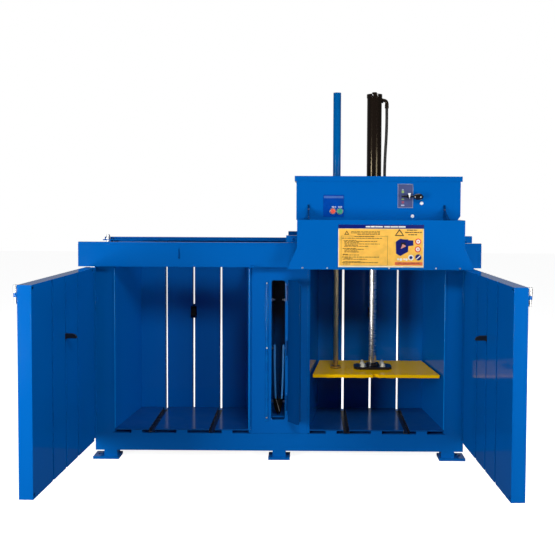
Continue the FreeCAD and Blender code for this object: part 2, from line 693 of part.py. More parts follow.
def roller_block(s, roller_y, y0, y1):
    """A block under the carriage's corner with the axle of its roller."""
    x = HEAD_X + s * ROLLER_X
    low = BAR_Z1 + 2
    inner, outer = HEAD_X + s * 330, HEAD_X + s * 420
    block = box(min(inner, outer), max(inner, outer), y0, y1, low, CARRIAGE_Z0)
    block = block.cut(box(x - 18, x + 18, roller_y - 9.5, roller_y + 9.5, low - 1, CARRIAGE_Z0 - 3))
    cheek_y = roller_y - 15
    boss = cyl_y(x, cheek_y, cheek_y + 5.5, ROLLER_Z, 7)
    return fuse([block, boss, cyl_y(x, cheek_y, roller_y + 15, ROLLER_Z, 5)])


def roller(s, y):
    x = HEAD_X + s * ROLLER_X
    return cyl_y(x, y - 9, y + 9, ROLLER_Z, ROLLER_R).cut(cyl_y(x, y - 10, y + 10, ROLLER_Z, 5.06))


blocks = []
for s, tag in ((-1, "left"), (1, "right")):
    blocks.append(roller_block(s, FRONT_ROLLER_Y, FRONT_ROLLER_Y - 15, FRONT_ROLLER_Y + 15))
    blocks.append(roller_block(s, REAR_ROLLER_Y, REAR_RAIL_Y + 4, REAR_ROLLER_Y + 15))
    save("front_" + tag + "_roller", roller(s, FRONT_ROLLER_Y))
    save("rear_" + tag + "_roller", roller(s, REAR_ROLLER_Y))
save("carriage_frame", carriage_frame())
save("roller_blocks", group(blocks))


# ================================================================ hood and its label plate
def hood():
    """Front sheet with a flared lower part, ledge on top and short side returns."""
    outline = [(HEAD_X - HOOD_HALF, HOOD_Z1), (HEAD_X - HOOD_HALF, HOOD_BEND),
               (HEAD_X - HOOD_FLARE, HOOD_Z0), (HEAD_X + HOOD_FLARE, HOOD_Z0),
               (HEAD_X + HOOD_HALF, HOOD_BEND), (HEAD_X + HOOD_HALF, HOOD_Z1)]
    parts = [front(outline, HOOD_Y, HOOD_Y + HOOD_T),
             box(HEAD_X - HOOD_HALF, HEAD_X + HOOD_HALF, HOOD_Y, 0, HOOD_Z1 - HOOD_T, HOOD_Z1)]
    for x in (HEAD_X - HOOD_HALF, HEAD_X + HOOD_HALF - HOOD_T):
        parts.append(box(x, x + HOOD_T, HOOD_Y, CARRIAGE_Y0, HOOD_BEND, HOOD_Z1))
    return fuse(parts)


def head_screws():
    """Screws along the hood's lower edge and the two screws in the cylinder cap."""
    screws = []
    for dx in (-345, -236, 36, 243, 349):
        screws.append(cyl_y(HEAD_X + dx, HOOD_Y - 2, HOOD_Y, HOOD_Z0 + 7, 3.5))
    cap_r = BARREL_R + 2
    for dx in (-11, 12):
        y = RAM_Y - math.sqrt(cap_r ** 2 - dx ** 2)
        screws.append(cyl_y(RAM_X + dx, y - 3, y + 4, BARREL_Z1 + 9, 3.5).cut(
            cyl(RAM_X, RAM_Y, BARREL_Z1, BARREL_Z1 + CAP_T, cap_r)))
    return group(screws)


save("hood", hood())
save("head_screws", head_screws())
save("instruction_plate", box(HEAD_X - LABEL_HALF, HEAD_X + LABEL_HALF, HOOD_Y - LABEL_T, HOOD_Y,
                              LABEL_Z0, LABEL_Z1))


# ================================================================ control housing
def control_housing():
    """Open-topped housing with the holes for cylinder, guide, buttons and lever."""
    x0, x1 = HEAD_X - BOX_HALF, HEAD_X + BOX_HALF
    outer = front([(x0, BOX_Z0), (x1 - 14, BOX_Z0), (x1, BOX_Z0 + 20), (x1, BOX_Z1), (x0, BOX_Z1)],
                  0, BOX_Y1)
    inner = box(x0 + BOX_T, x1 - 18, BOX_T, BOX_Y1 - BOX_T, BOX_Z0 + BOX_T, BOX_Z1 + 1)
    shape = outer.cut(inner)
    shape = shape.cut(cyl(RAM_X, RAM_Y, BOX_Z0 - 1, BOX_Z0 + 5, BARREL_R + 1))
    shape = shape.cut(cyl(GUIDE_X, RAM_Y, BOX_Z0 - 1, BOX_Z0 + 5, SLEEVE_R + 1))
    for dx in (STOP_DX, START_DX):
        shape = shape.cut(cyl_y(HEAD_X + dx, -1, 5, BUTTON_Z, BUTTON_R))
    return shape.cut(cyl_y(HEAD_X + LEVER_DX, -1, 5, LEVER_Z, 7))


def housing_lid():
    """Lid with turned-down edges that sits on the housing's walls."""
    half = BOX_HALF + LID_SIDE
    cap = box(HEAD_X - half, HEAD_X + half, -LID_FRONT, BOX_Y1 + LID_SIDE, BOX_Z1, LID_Z1)
    seat = 6.0
    cap = cap.cut(box(HEAD_X - BOX_HALF + seat, HEAD_X + BOX_HALF - seat, seat, BOX_Y1 - seat,
                      BOX_Z1 - 1, LID_Z1 - BOX_T))
    for x, r in ((RAM_X, BARREL_R + 1), (GUIDE_X, SLEEVE_R + 1), (RAM_X + HOSE_LOW_DX, HOSE_R + 2)):
        cap = cap.cut(cyl(x, RAM_Y, BOX_Z1 - 1, LID_Z1 + 1, r))
    return cap


def gussets():
    """Fins between the hood's ledge and the front of the housing."""
    fins = []
    reach = -118.0
    for dx in (-319, 301):
        x = HEAD_X + dx
        outline = [(0, HOOD_Z1), (reach, HOOD_Z1), (reach, HOOD_Z1 + 6), (0, HOOD_Z1 + 66)]
        fins.append(side(outline, x - 2.5, x + 2.5))
    return group(fins)


save("control_housing", control_housing())
save("housing_lid", housing_lid())
save("gussets", gussets())


# ================================================================ hydraulic cylinder and guide
def cylinder_barrel():
    """Barrel with its bore and the collar that carries it on the bridge."""
    tube = ring(RAM_X, RAM_Y, BARREL_Z0, BARREL_Z1, BARREL_R, BORE_R)
    lining = ring(RAM_X, RAM_Y, BARREL_Z0, BARREL_Z0 + GLAND_L, BARREL_R - 1, GLAND_R)
    collar = ring(RAM_X, RAM_Y, BRIDGE_Z - 16, BRIDGE_Z, 52, BARREL_R - 2)
    return fuse([tube, lining, collar])


def cylinder_gland():
    shape = fuse([
        cyl(RAM_X, RAM_Y, BARREL_Z0 - 12, BARREL_Z0, 32),
        cyl(RAM_X, RAM_Y, BARREL_Z0, BARREL_Z0 + GLAND_L, GLAND_R),
    ])
    return shape.cut(cyl(RAM_X, RAM_Y, BARREL_Z0 - 13, BARREL_Z0 + GLAND_L + 1, ROD_R + 0.06))


def cylinder_cap():
    top = BARREL_Z1 + CAP_T
    return fuse([
        cyl(RAM_X, RAM_Y, BARREL_Z1, top, BARREL_R + 2),
        cyl(RAM_X, RAM_Y, top, top + 10, 11.5),
    ])


def hose_fitting():
    """Hexagon boss on the barrel, quarter bend and ferrule of the hose."""
    r = HOSE_R + 1
    x = RAM_X + HOSE_DX
    bend_x, bend_z = x - ELBOW_R, PORT_Z - ELBOW_R
    mouth = Part.Face(Part.Wire(Part.Circle(V(bend_x, RAM_Y, PORT_Z), V(1, 0, 0), r).toShape()))
    bend = mouth.revolve(V(bend_x, RAM_Y, bend_z), V(0, 1, 0), 90)
    parts = [
        cyl_x(RAM_X + BARREL_R - 2, bend_x, RAM_Y, PORT_Z, r),
        cyl_x(RAM_X + BARREL_R - 2, RAM_X + BARREL_R + 7, RAM_Y, PORT_Z, r + 2),
        bend,
        cyl(x, RAM_Y, bend_z - FERRULE_L, bend_z, r + 1),
    ]
    return fuse(parts).cut(cyl(RAM_X, RAM_Y, PORT_Z - 20, PORT_Z + 20, BARREL_R))


def rounded_route(points):
    """Straight runs through the points, joined by tangent arcs as large as the runs allow."""
    edges = []
    at = points[0]
    for before, here, after in zip(points, points[1:], points[2:]):
        d0 = (here - before).normalize()
        d1 = (after - here).normalize()
        reach = 0.45 * min((here - before).Length, (after - here).Length)
        half = d0.getAngle(d1) / 2
        radius = reach / math.tan(half)
        a = here - d0 * reach
        b = here + d1 * reach
        inward = (d1 - d0).normalize()
        m = here + inward * (radius / math.cos(half) - radius)
        edges.append(Part.LineSegment(at, a).toShape())
        edges.append(Part.Arc(a, m, b).toShape())
        print("hose radius", round(radius))
        at = b
    edges.append(Part.LineSegment(at, points[-1]).toShape())
    return Part.Wire(edges)


def hose():
    """The hose from the fitting down through the lid; X counts from the cylinder's axis."""
    top = PORT_Z - ELBOW_R - FERRULE_L
    route = [(HOSE_DX, top), (59.5, 1440), (58, 1365), (54, 1295), (51.5, 1225), (HOSE_LOW_DX, 1150)]
    points = [V(RAM_X + x, RAM_Y, z) for x, z in route]
    path = rounded_route(points)
    mouth = Part.Circle(points[0], V(0, 0, -1), HOSE_R).toShape()
    shape = path.makePipeShell([Part.Wire([mouth])], True, False)
    by_length = math.pi * HOSE_R ** 2 * path.Length
    print("hose volume", round(shape.Volume), "section by length", round(by_length))
    return shape


def guide_sleeve():
    """Closed tube over the guide rod, with the collar under the bridge."""
    tube = cyl(GUIDE_X, RAM_Y, SLEEVE_Z0, SLEEVE_Z1, SLEEVE_R)
    collar = cyl(GUIDE_X, RAM_Y, BRIDGE_Z - 10, BRIDGE_Z, 30)
    return fuse([tube, collar]).cut(cyl(GUIDE_X, RAM_Y, SLEEVE_Z0 - 1, SLEEVE_Z1 - 5, GUIDE_R + 0.08))


save("cylinder_barrel", cylinder_barrel())
save("cylinder_gland", cylinder_gland())
save("cylinder_cap", cylinder_cap())
save("hose_fitting", hose_fitting())
save("hose", hose())
save("guide_sleeve", guide_sleeve())


# ================================================================ hydraulic unit in the housing
UNIT_Z = BOX_Z0 + BOX_T


def oil_tank():
    return fuse([
        box(HEAD_X + 90, HEAD_X + 330, 60, 340, UNIT_Z, UNIT_Z + 110),
        cyl(HEAD_X + 130, 110, UNIT_Z + 110, UNIT_Z + 125, 16),
    ])


def pump_motor():
    return fuse([
        cyl_x(HEAD_X - 340, HEAD_X - 160, 100, UNIT_Z + 80, 60),
        box(HEAD_X - 320, HEAD_X - 250, 50, 150, UNIT_Z, UNIT_Z + 60),
        box(HEAD_X - 160, HEAD_X - 112, 70, 130, UNIT_Z + 40, UNIT_Z + 120),
    ])


save("oil_tank", oil_tank())
save("pump_motor", pump_motor())


# ================================================================ controls
def button_panel():
    panel = box(HEAD_X + PANEL_DX0, HEAD_X + PANEL_DX1, -2, 0, PANEL_Z0, PANEL_Z1)
    for dx in (STOP_DX, START_DX):
        panel = panel.cut(cyl_y(HEAD_X + dx, -3, 1, BUTTON_Z, BUTTON_R - 0.5))
    return panel


def push_button(dx):
    """Round cap with a softened rim on its plunger."""
    x = HEAD_X + dx
    cap = fillet(cyl_y(x, -14, -6, BUTTON_Z, BUTTON_R), 2.0, lambda b: b.YMax < -13.9)
    return fuse([cap, cyl_y(x, -6, 18, BUTTON_Z, 9)])


def lever_plate():
    plate = box(HEAD_X + PLATE_DX0, HEAD_X + PLATE_DX1, -2.5, 0, PLATE_Z0, PLATE_Z1)
    return plate.cut(cyl_y(HEAD_X + LEVER_DX, -3, 1, LEVER_Z, 6.5))


def control_lever():
    """Spindle, hub and cross bar with an oval knob on its right end."""
    x = HEAD_X + LEVER_DX
    knob = Part.makeSphere(1.0)
    matrix = FreeCAD.Matrix()
    matrix.scale(V(22.5, 12, 15))
    knob = knob.transformGeometry(matrix)
    knob.translate(V(x + 45, -26, LEVER_Z - 1))
    return fuse([
        cyl_y(x, -30, 30, LEVER_Z, 6),
        cyl_y(x, -30, -8, LEVER_Z, 8),
        cyl_x(x - 32, x + 28, -24, LEVER_Z, 4.5),
        knob,
    ])


def hole_plugs():
    return group([cyl_y(HEAD_X + dx, -3, 0, z, 7) for dx, z in ((197, 1048), (156, 989))])


save("button_panel", button_panel())
save("stop_button", push_button(STOP_DX))
save("start_button", push_button(START_DX))
save("lever_plate", lever_plate())
save("control_lever", control_lever())
save("hole_plugs", hole_plugs())


# ================================================================ ram
def piston_rod():
    return fuse([
        cyl(RAM_X, RAM_Y, PLATEN_Z + FLANGE_T, PISTON_Z, ROD_R),
        cyl(RAM_X, RAM_Y, PISTON_Z, PISTON_Z + PISTON_L, BORE_R - 0.06),
    ])


def rod_flange():
    """Plate with cut corners and the socket that the rod stands in."""
    c = FLANGE_CORNER
    x, y = FLANGE_HALF, FLANGE_DEPTH
    corners = [(-x, -y + c), (-x + c, -y), (x - c, -y), (x, -y + c),
               (x, y - c), (x - c, y), (-x + c, y), (-x, y - c)]
    top = PLATEN_Z + FLANGE_T
    plate = plan([(RAM_X + px, RAM_Y + py) for px, py in corners], PLATEN_Z, top)
    return fuse([plate, ring(RAM_X, RAM_Y, top, top + 14, 30, ROD_R)])


def flange_bolts():
    """Studs with washers and nuts at the flange's corners."""
    z = PLATEN_Z + FLANGE_T
    studs = []
    for dx in (-STUD_X, STUD_X):
        for dy in (-STUD_Y, STUD_Y):
            x, y = RAM_X + dx, RAM_Y + dy
            studs.append(fuse([cyl(x, y, z, z + 2.5, 12.5), hexagon(x, y, z + 2.5, z + 13, 10.5),
                               cyl(x, y, z + 13, z + 21, 5.5)]))
    return group(studs)


def platen():
    """Press plate, narrower at the rear, with a notch in front and flat bars below."""
    z0 = PLATEN_Z - PLATEN_T
    plate = plan([(HEAD_X - PLATEN_FRONT, PLATEN_Y0), (HEAD_X + PLATEN_FRONT, PLATEN_Y0),
                  (HEAD_X + PLATEN_REAR, PLATEN_Y1), (HEAD_X - PLATEN_REAR, PLATEN_Y1)], z0, PLATEN_Z)
    plate = plate.cut(cyl(NOTCH_X, PLATEN_Y0, z0 - 1, PLATEN_Z + 1, NOTCH_R))
    bars = []
    for dx in (-210, -70, 70, 210):
        x = HEAD_X + dx
        bars.append(box(x - 20, x + 20, PLATEN_Y0 + 20, PLATEN_Y1 - 20, z0 - 6, z0))
    return fuse([plate] + bars)


def guide_rod():
    return fuse([
        cyl(GUIDE_X, RAM_Y, PLATEN_Z, CARRIAGE_Z1 - 5, GUIDE_R),
        cyl(GUIDE_X, RAM_Y, PLATEN_Z, PLATEN_Z + 10, 24),
    ])


save("piston_rod", piston_rod())
save("rod_flange", rod_flange())
save("flange_bolts", flange_bolts())
save("platen", platen())
save("guide_rod", guide_rod())

# ================================================================ overall size
overall = group(list(saved.values())).BoundBox
print("nodes", len(saved))
print("X", round(overall.XMin, 3), round(overall.XMax, 3))
print("Y", round(overall.YMin, 3), round(overall.YMax, 3), "middle", round(overall.Center.y, 3))
print("Z", round(overall.ZMin, 3), round(overall.ZMax, 3))
for name, shape in saved.items():
    if not shape.isValid():
        print("not valid:", name)
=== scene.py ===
"""Dressing of a twin-chamber recycling baler: finishes, small parts, light and camera.

Lengths are metres in the frame's own axes: X to the right, Y to the rear, Z up from the floor.
Sizes of small parts are given in millimetres and scaled by MM where they are used.
"""

import json
import logging
import math
from dataclasses import dataclass, field
from enum import Enum, IntEnum
from typing import Callable, Iterable, Sequence

import bmesh
import bpy
from mathutils import Matrix, Vector


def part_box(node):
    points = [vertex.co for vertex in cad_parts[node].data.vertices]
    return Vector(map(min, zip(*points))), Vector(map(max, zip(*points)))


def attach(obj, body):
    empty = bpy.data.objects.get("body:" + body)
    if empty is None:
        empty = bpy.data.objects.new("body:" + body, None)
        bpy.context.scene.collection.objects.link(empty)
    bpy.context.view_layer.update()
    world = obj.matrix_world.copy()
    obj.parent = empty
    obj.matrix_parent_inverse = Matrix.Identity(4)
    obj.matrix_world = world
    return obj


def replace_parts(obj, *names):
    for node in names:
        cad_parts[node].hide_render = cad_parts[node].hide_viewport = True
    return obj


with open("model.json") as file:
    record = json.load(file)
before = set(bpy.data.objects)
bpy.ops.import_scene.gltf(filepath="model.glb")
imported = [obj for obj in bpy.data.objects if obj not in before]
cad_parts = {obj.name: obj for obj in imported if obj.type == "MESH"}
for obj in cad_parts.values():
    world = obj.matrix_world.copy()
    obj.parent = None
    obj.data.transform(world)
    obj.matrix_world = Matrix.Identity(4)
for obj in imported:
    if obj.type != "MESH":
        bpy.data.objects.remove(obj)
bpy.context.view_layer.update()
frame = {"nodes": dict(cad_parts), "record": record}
LOG = logging.getLogger("baler")
MM = 0.001
Colour = tuple[float, float, float]
Point = tuple[float, float, float]
Pair = tuple[float, float]
Pairs = tuple[Pair, ...]
Numbers = tuple[float, ...]
Quad = tuple[float, float, float, float]
Quads = tuple[Quad, ...]
FORWARD = Vector((0.0, -1.0, 0.0))
UP = Vector((0.0, 0.0, 1.0))
SKEW = Vector((0.31, 0.17, 0.93))  # lies along none of the machine's bars
NEARLY_UPRIGHT = 0.9  # share of an axis that has to point up or down

# Numbers of the colour sockets on Blender's Mix node.
MIX_FIRST_COLOUR = 6
MIX_SECOND_COLOUR = 7
MIX_RESULT_COLOUR = 2


# ------------------------------------------------------------------ named choices
class Body(str, Enum):
    """The bodies of the machine that dressed pieces ride on."""

    FRAME = "frame"
    RAM = "ram"
    LEFT_DOOR = "left_door"
    RIGHT_DOOR = "right_door"
    STOP_BUTTON = "stop_button"
    START_BUTTON = "start_button"
    CONTROL_LEVER = "control_lever"


class Slot(str, Enum):
    """Material slots of the record."""

    BLUE = "blue_paint"
    DARK_BLUE = "dark_blue"
    YELLOW = "yellow_paint"
    BLACK = "black_paint"
    ZINC = "zinc"
    CHROME = "chrome"
    STEEL = "steel"
    GALVANISED = "galvanised"
    BLACK_PLASTIC = "black_plastic"
    RUBBER = "rubber"
    RED_PLASTIC = "red_plastic"
    GREEN_PLASTIC = "green_plastic"
    WHITE_PLASTIC = "white_plastic"
    PALE_BLUE_PLASTIC = "pale_blue_plastic"
    PANEL_PRINT = "panel_print"
    AMBER_PRINT = "amber_print"
    GREY_PRINT = "grey_print"
    CAST = "cast"


class Grain(Enum):
    """The direction in which a metal was drawn or ground, as cells of its pattern along X, Y and Z."""

    ALONG_X = (2.0, 90.0, 90.0)
    ALONG_Z = (90.0, 90.0, 2.0)
    AROUND_Z = (3.0, 3.0, 120.0)
    NONE = (40.0, 40.0, 40.0)


class LabelInk(IntEnum):
    """The instruction print's inks, by their place in the piece's list of finishes."""

    NAVY = 0
    BLACK = 1
    WHITE = 2
    RED = 3
    ORANGE = 4
    BROWN = 5
    CREAM = 6
    PINK = 7
    AMBER = 8


# ------------------------------------------------------------------ node trees
class Tree:
    """Adds and joins the nodes of one node tree."""

    def __init__(self, tree: bpy.types.NodeTree) -> None:
        """Wraps a tree.

        Args:
            tree: The node tree that is filled.
        """
        self.tree = tree

    def add(self, kind: str, settings: dict | None = None, **inputs: object) -> bpy.types.Node:
        """Adds a node.

        Args:
            kind: Node type without its "ShaderNode" prefix.
            settings: Properties of the node itself.
            inputs: Values or sockets for its inputs; a blank in a socket's name is an underscore.

        Returns:
            The new node.
        """
        node = self.tree.nodes.new("ShaderNode" + kind)
        for key, value in (settings or {}).items():
            setattr(node, key, value)
        for key, value in inputs.items():
            self.feed(node, key.replace("_", " "), value)
        return node

    def feed(self, node: bpy.types.Node, name: str | int, value: object) -> None:
        """Sets one input to a value, or links a socket to it.

        Args:
            node: The node that takes the value.
            name: The input's name or number.
            value: A socket to link, or a plain value.
        """
        socket = node.inputs[name]
        if isinstance(value, bpy.types.NodeSocket):
            self.tree.links.new(value, socket)
        else:
            socket.default_value = value

    def math(self, operation: str, first: object, second: object = 0.0,
             clamp: bool = False) -> bpy.types.NodeSocket:
        """Joins two values by one operation.

        Args:
            operation: The Math node's operation.
            first: First value or socket.
            second: Second value or socket.
            clamp: True keeps the result between 0 and 1.

        Returns:
            The result's socket.
        """
        node = self.add("Math", {"operation": operation, "use_clamp": clamp})
        self.feed(node, 0, first)
        self.feed(node, 1, second)
        return node.outputs[0]

    def mix(self, factor: object, first: object, second: object,
            blend: str = "MIX") -> bpy.types.NodeSocket:
        """Mixes two colours.

        Args:
            factor: Share of the second colour, or a socket that gives it.
            first: First colour or socket.
            second: Second colour or socket.
            blend: How the two colours meet.

        Returns:
            The mixed colour's socket.
        """
        node = self.add("Mix", {"data_type": "RGBA", "blend_type": blend})
        self.feed(node, 0, factor)
        self.feed(node, MIX_FIRST_COLOUR, first)
        self.feed(node, MIX_SECOND_COLOUR, second)
        return node.outputs[MIX_RESULT_COLOUR]

    def tone(self, colour: object, shade: object) -> bpy.types.NodeSocket:
        """Multiplies a colour by a shade.

        Args:
            colour: The colour's socket.
            shade: The socket with the factor on its brightness.

        Returns:
            The toned colour's socket.
        """
        grey = self.add("CombineColor", Red=shade, Green=shade, Blue=shade).outputs[0]
        return self.mix(1.0, colour, grey, "MULTIPLY")

    def vector_math(self, operation: str, first: object, second: object) -> bpy.types.Node:
        """Joins two vectors by one operation.

        Args:
            operation: The Vector Math node's operation.
            first: First vector's socket.
            second: Second vector's socket.

        Returns:
            The new node.
        """
        node = self.add("VectorMath", {"operation": operation})
        self.feed(node, 0, first)
        self.feed(node, 1, second)
        return node

    def either(self, chooser: object, first: object, second: object) -> bpy.types.NodeSocket:
        """Chooses between two shaders.

        Args:
            chooser: Socket that is 0 for the first shader and 1 for the second.
            first: First shader's socket.
            second: Second shader's socket.

        Returns:
            The chosen shader's socket.
        """
        node = self.add("MixShader")
        for place, value in enumerate((chooser, first, second)):
            self.feed(node, place, value)
        return node.outputs[0]

    def noise(self, scale: object, detail: float = 3.0, vector: object = None,
              rough: float = 0.5) -> bpy.types.NodeSocket:
        """Adds a noise pattern in the object's own coordinates.

        Args:
            scale: Cells per metre, or a socket that gives them.
            detail: Octaves of finer noise.
            vector: Socket with other coordinates, or None for the object's own.
            rough: Weight of the finer octaves.

        Returns:
            The noise value's socket.
        """
        if vector is None:
            vector = self.add("TexCoord").outputs["Object"]
        node = self.add("TexNoise", Vector=vector, Scale=scale, Detail=detail, Roughness=rough)
        return node.outputs[0]

    def stretch(self, value: object, low: float, high: float, to_low: float = 0.0,
                to_high: float = 1.0) -> bpy.types.NodeSocket:
        """Maps a value from one range to another and clamps it.

        Args:
            value: The socket that is mapped.
            low: Value that becomes to_low.
            high: Value that becomes to_high.
            to_low: Lowest result.
            to_high: Highest result.

        Returns:
            The mapped value's socket.
        """
        node = self.add("MapRange", Value=value, From_Min=low, From_Max=high, To_Min=to_low, To_Max=to_high)
        return node.outputs[0]


class Effect(Tree):
    """A shader node group with named inputs and outputs that several finishes share."""

    def __init__(self, name: str, inputs: dict[str, object], outputs: dict[str, str]) -> None:
        """Makes the group's interface.

        Args:
            name: Name of the group.
            inputs: Input names with their defaults; a tuple is a colour.
            outputs: Output names with their socket types, without the "NodeSocket" prefix.
        """
        group = bpy.data.node_groups.new(name, "ShaderNodeTree")
        super().__init__(group)
        for key, value in inputs.items():
            kind = "NodeSocketColor" if isinstance(value, tuple) else "NodeSocketFloat"
            socket = group.interface.new_socket(key, in_out="INPUT", socket_type=kind)
            socket.default_value = (*value, 1.0) if isinstance(value, tuple) else value
        for key, kind in outputs.items():
            group.interface.new_socket(key, in_out="OUTPUT", socket_type="NodeSocket" + kind)
        self.into = group.nodes.new("NodeGroupInput").outputs
        self.out = group.nodes.new("NodeGroupOutput")

    def give(self, name: str, value: object) -> None:
        """Links a value to one of the group's outputs.

        Args:
            name: Output name.
            value: The socket that feeds it.
        """
        self.feed(self.out, name, value)

    def give_mask(self, first: object, second: object) -> bpy.types.NodeSocket:
        """Gives out, as Mask, where two patterns meet, times the input Amount.

        Args:
            first: First pattern's socket.
            second: Second pattern's socket.

        Returns:
            The mask's socket.
        """
        both = self.math("MULTIPLY", first, second)
        mask = self.math("MULTIPLY", both, self.into["Amount"], clamp=True)
        self.give("Mask", mask)
        return mask

    def give_scaled(self, name: str, factor: object) -> None:
        """Gives out one of the group's own inputs times a factor.

        Args:
            name: Name of the input and of the output.
            factor: The factor's socket.
        """
        self.give(name, self.math("MULTIPLY", self.into[name], factor))

    def along_axes(self) -> bpy.types.NodeSocket:
        """Gives the object's coordinates times the inputs Along X, Along Y and Along Z.

        Returns:
            The coordinates' socket.
        """
        where = self.add("TexCoord").outputs["Object"]
        scale = self.add("CombineXYZ", X=self.into["Along X"], Y=self.into["Along Y"], Z=self.into["Along Z"])
        return self.vector_math("MULTIPLY", where, scale.outputs[0]).outputs[0]


# What an effect that makes a whole surface puts out, and the colour of dust.
SKIN = {"Color": "Color", "Roughness": "Float", "Height": "Float"}
DUST_COLOUR = (0.42, 0.40, 0.37, 1.0)


def edge_wear_and_highlight_effect() -> Effect:
    """Rounds sharp edges and gives a mask along them in random patches, used for worn paint and for a painted
    highlight along the edges.

    Returns:
        A group with Mask (worn and highlit edges) and Normal (softened edges).
    """
    fx = Effect("edge wear", {"Radius": 0.0012, "Amount": 0.5}, {"Mask": "Float", "Normal": "Vector"})
    soft = fx.add("Bevel", {"samples": 4}, Radius=fx.into["Radius"]).outputs[0]
    plain = fx.add("NewGeometry").outputs["Normal"]
    likeness = fx.vector_math("DOT_PRODUCT", soft, plain).outputs["Value"]
    edge = fx.stretch(fx.math("SUBTRACT", 1.0, likeness), low=0.02, high=0.2)
    patches = fx.stretch(fx.noise(scale=28.0, detail=5.0), low=0.44, high=0.62)
    fx.give_mask(edge, patches)
    fx.give("Normal", soft)
    return fx


def sheet_paint_effect() -> Effect:
    """Gives sprayed sheet metal its tone drift, orange peel and slightly wavy surface.

    Returns:
        A group with Color, Roughness and Height in metres.
    """
    fx = Effect("sheet paint", {"Color": (0.0, 0.1, 0.4), "Roughness": 0.2, "Drift": 0.1, "Wave": 0.0004,
                                "Peel": 0.00001}, SKIN)
    drift = fx.math("SUBTRACT", fx.noise(scale=2.3, detail=2.0), 0.5)
    shade = fx.math("ADD", 1.0, fx.math("MULTIPLY", drift, fx.into["Drift"]))
    fx.give("Color", fx.tone(fx.into["Color"], shade))
    smear = fx.noise(scale=9.0, detail=5.0, rough=0.6)
    smear = fx.stretch(smear, low=0.35, high=0.75, to_low=-0.25, to_high=0.35)
    fx.give_scaled("Roughness", fx.math("ADD", 1.0, smear))
    wave = fx.math("MULTIPLY", fx.noise(scale=5.0, detail=1.0), fx.into["Wave"])
    peel = fx.math("MULTIPLY", fx.noise(scale=420.0, detail=2.0), fx.into["Peel"])
    fx.give("Height", fx.math("ADD", wave, peel))
    return fx


def dust_effect() -> Effect:
    """Lays fine dust on faces that look up.

    Returns:
        A group with Color and Mask.
    """
    fx = Effect("settled dust", {"Color": (0.0, 0.1, 0.4), "Amount": 0.3},
                {"Color": "Color", "Mask": "Float"})
    up = fx.add("SeparateXYZ", Vector=fx.add("NewGeometry").outputs["Normal"]).outputs["Z"]
    facing = fx.stretch(up, low=0.55, high=0.98)
    clouds = fx.stretch(fx.noise(scale=14.0, detail=6.0, rough=0.65), low=0.35, high=0.75)
    mask = fx.give_mask(facing, clouds)
    fx.give("Color", fx.mix(mask, fx.into["Color"], DUST_COLOUR))
    return fx


def scuff_effect() -> Effect:
    """Draws fine rub marks that run mostly along one axis.

    Returns:
        A group with Mask.
    """
    fx = Effect("scuffs", {"Along X": 6.0, "Along Y": 6.0, "Along Z": 6.0, "Amount": 0.5}, {"Mask": "Float"})
    lines = fx.noise(scale=4.0, detail=4.0, vector=fx.along_axes(), rough=0.7)
    areas = fx.noise(scale=7.0, detail=2.0)
    fx.give_mask(fx.stretch(lines, low=0.60, high=0.68), fx.stretch(areas, low=0.42, high=0.60))
    return fx


def brushed_effect() -> Effect:
    """Gives drawn or ground metal its fine lines.

    Returns:
        A group with Color, Roughness and Height in metres.
    """
    fx = Effect("brushed metal", {"Color": (0.5, 0.5, 0.5), "Roughness": 0.3, "Along X": 40.0,
                                  "Along Y": 40.0, "Along Z": 40.0, "Depth": 0.00002}, SKIN)
    lines = fx.noise(scale=6.0, detail=4.0, vector=fx.along_axes(), rough=0.6)
    stain = fx.stretch(fx.noise(scale=11.0, detail=4.0), low=0.3, high=0.7, to_low=0.82, to_high=1.08)
    streaks = fx.stretch(lines, low=0.25, high=0.75, to_low=0.88, to_high=1.08)
    fx.give("Color", fx.tone(fx.into["Color"], fx.math("MULTIPLY", stain, streaks)))
    fx.give_scaled("Roughness", fx.stretch(lines, low=0.3, high=0.7, to_low=0.75, to_high=1.3))
    fx.give("Height", fx.math("MULTIPLY", lines, fx.into["Depth"]))
    return fx


def moulding_effect() -> Effect:
    """Gives moulded or printed surfaces their faint grain and handling marks.

    Returns:
        A group with Color, Roughness and Height in metres.
    """
    fx = Effect("moulded grain", {"Color": (0.5, 0.5, 0.5), "Roughness": 0.4, "Grain": 900.0,
                                  "Depth": 0.00002}, SKIN)
    marks = fx.stretch(fx.noise(scale=35.0, detail=4.0), low=0.3, high=0.7, to_low=0.88, to_high=1.08)
    fx.give("Color", fx.tone(fx.into["Color"], marks))
    handled = fx.stretch(fx.noise(scale=60.0), low=0.3, high=0.7, to_low=0.85, to_high=1.2)
    fx.give_scaled("Roughness", handled)
    fine = fx.noise(scale=fx.into["Grain"], detail=2.0)
    fx.give("Height", fx.math("MULTIPLY", fine, fx.into["Depth"]))
    return fx


class Effects:
    """The shared effects, each made once when it is first asked for."""

    _makers: dict[str, Callable[[], Effect]] = {
        "edge wear": edge_wear_and_highlight_effect,
        "sheet paint": sheet_paint_effect,
        "settled dust": dust_effect,
        "scuffs": scuff_effect,
        "brushed metal": brushed_effect,
        "moulded grain": moulding_effect,
    }
    _made: dict[str, Effect] = {}

    @classmethod
    def place(cls, tree: Tree, name: str, **inputs: object) -> bpy.types.Node:
        """Places a shared effect in a material.

        Args:
            tree: The material's tree.
            name: Name of the effect.
            inputs: Values or sockets for the group's inputs.

        Returns:
            The group node in the material.
        """
        if name not in cls._made:
            cls._made[name] = cls._makers[name]()
        node = tree.tree.nodes.new("ShaderNodeGroup")
        node.node_tree = cls._made[name].tree
        for key, value in inputs.items():
            if isinstance(value, tuple):
                value = (*value, 1.0)
            tree.feed(node, key.replace("_", " "), value)
        return node


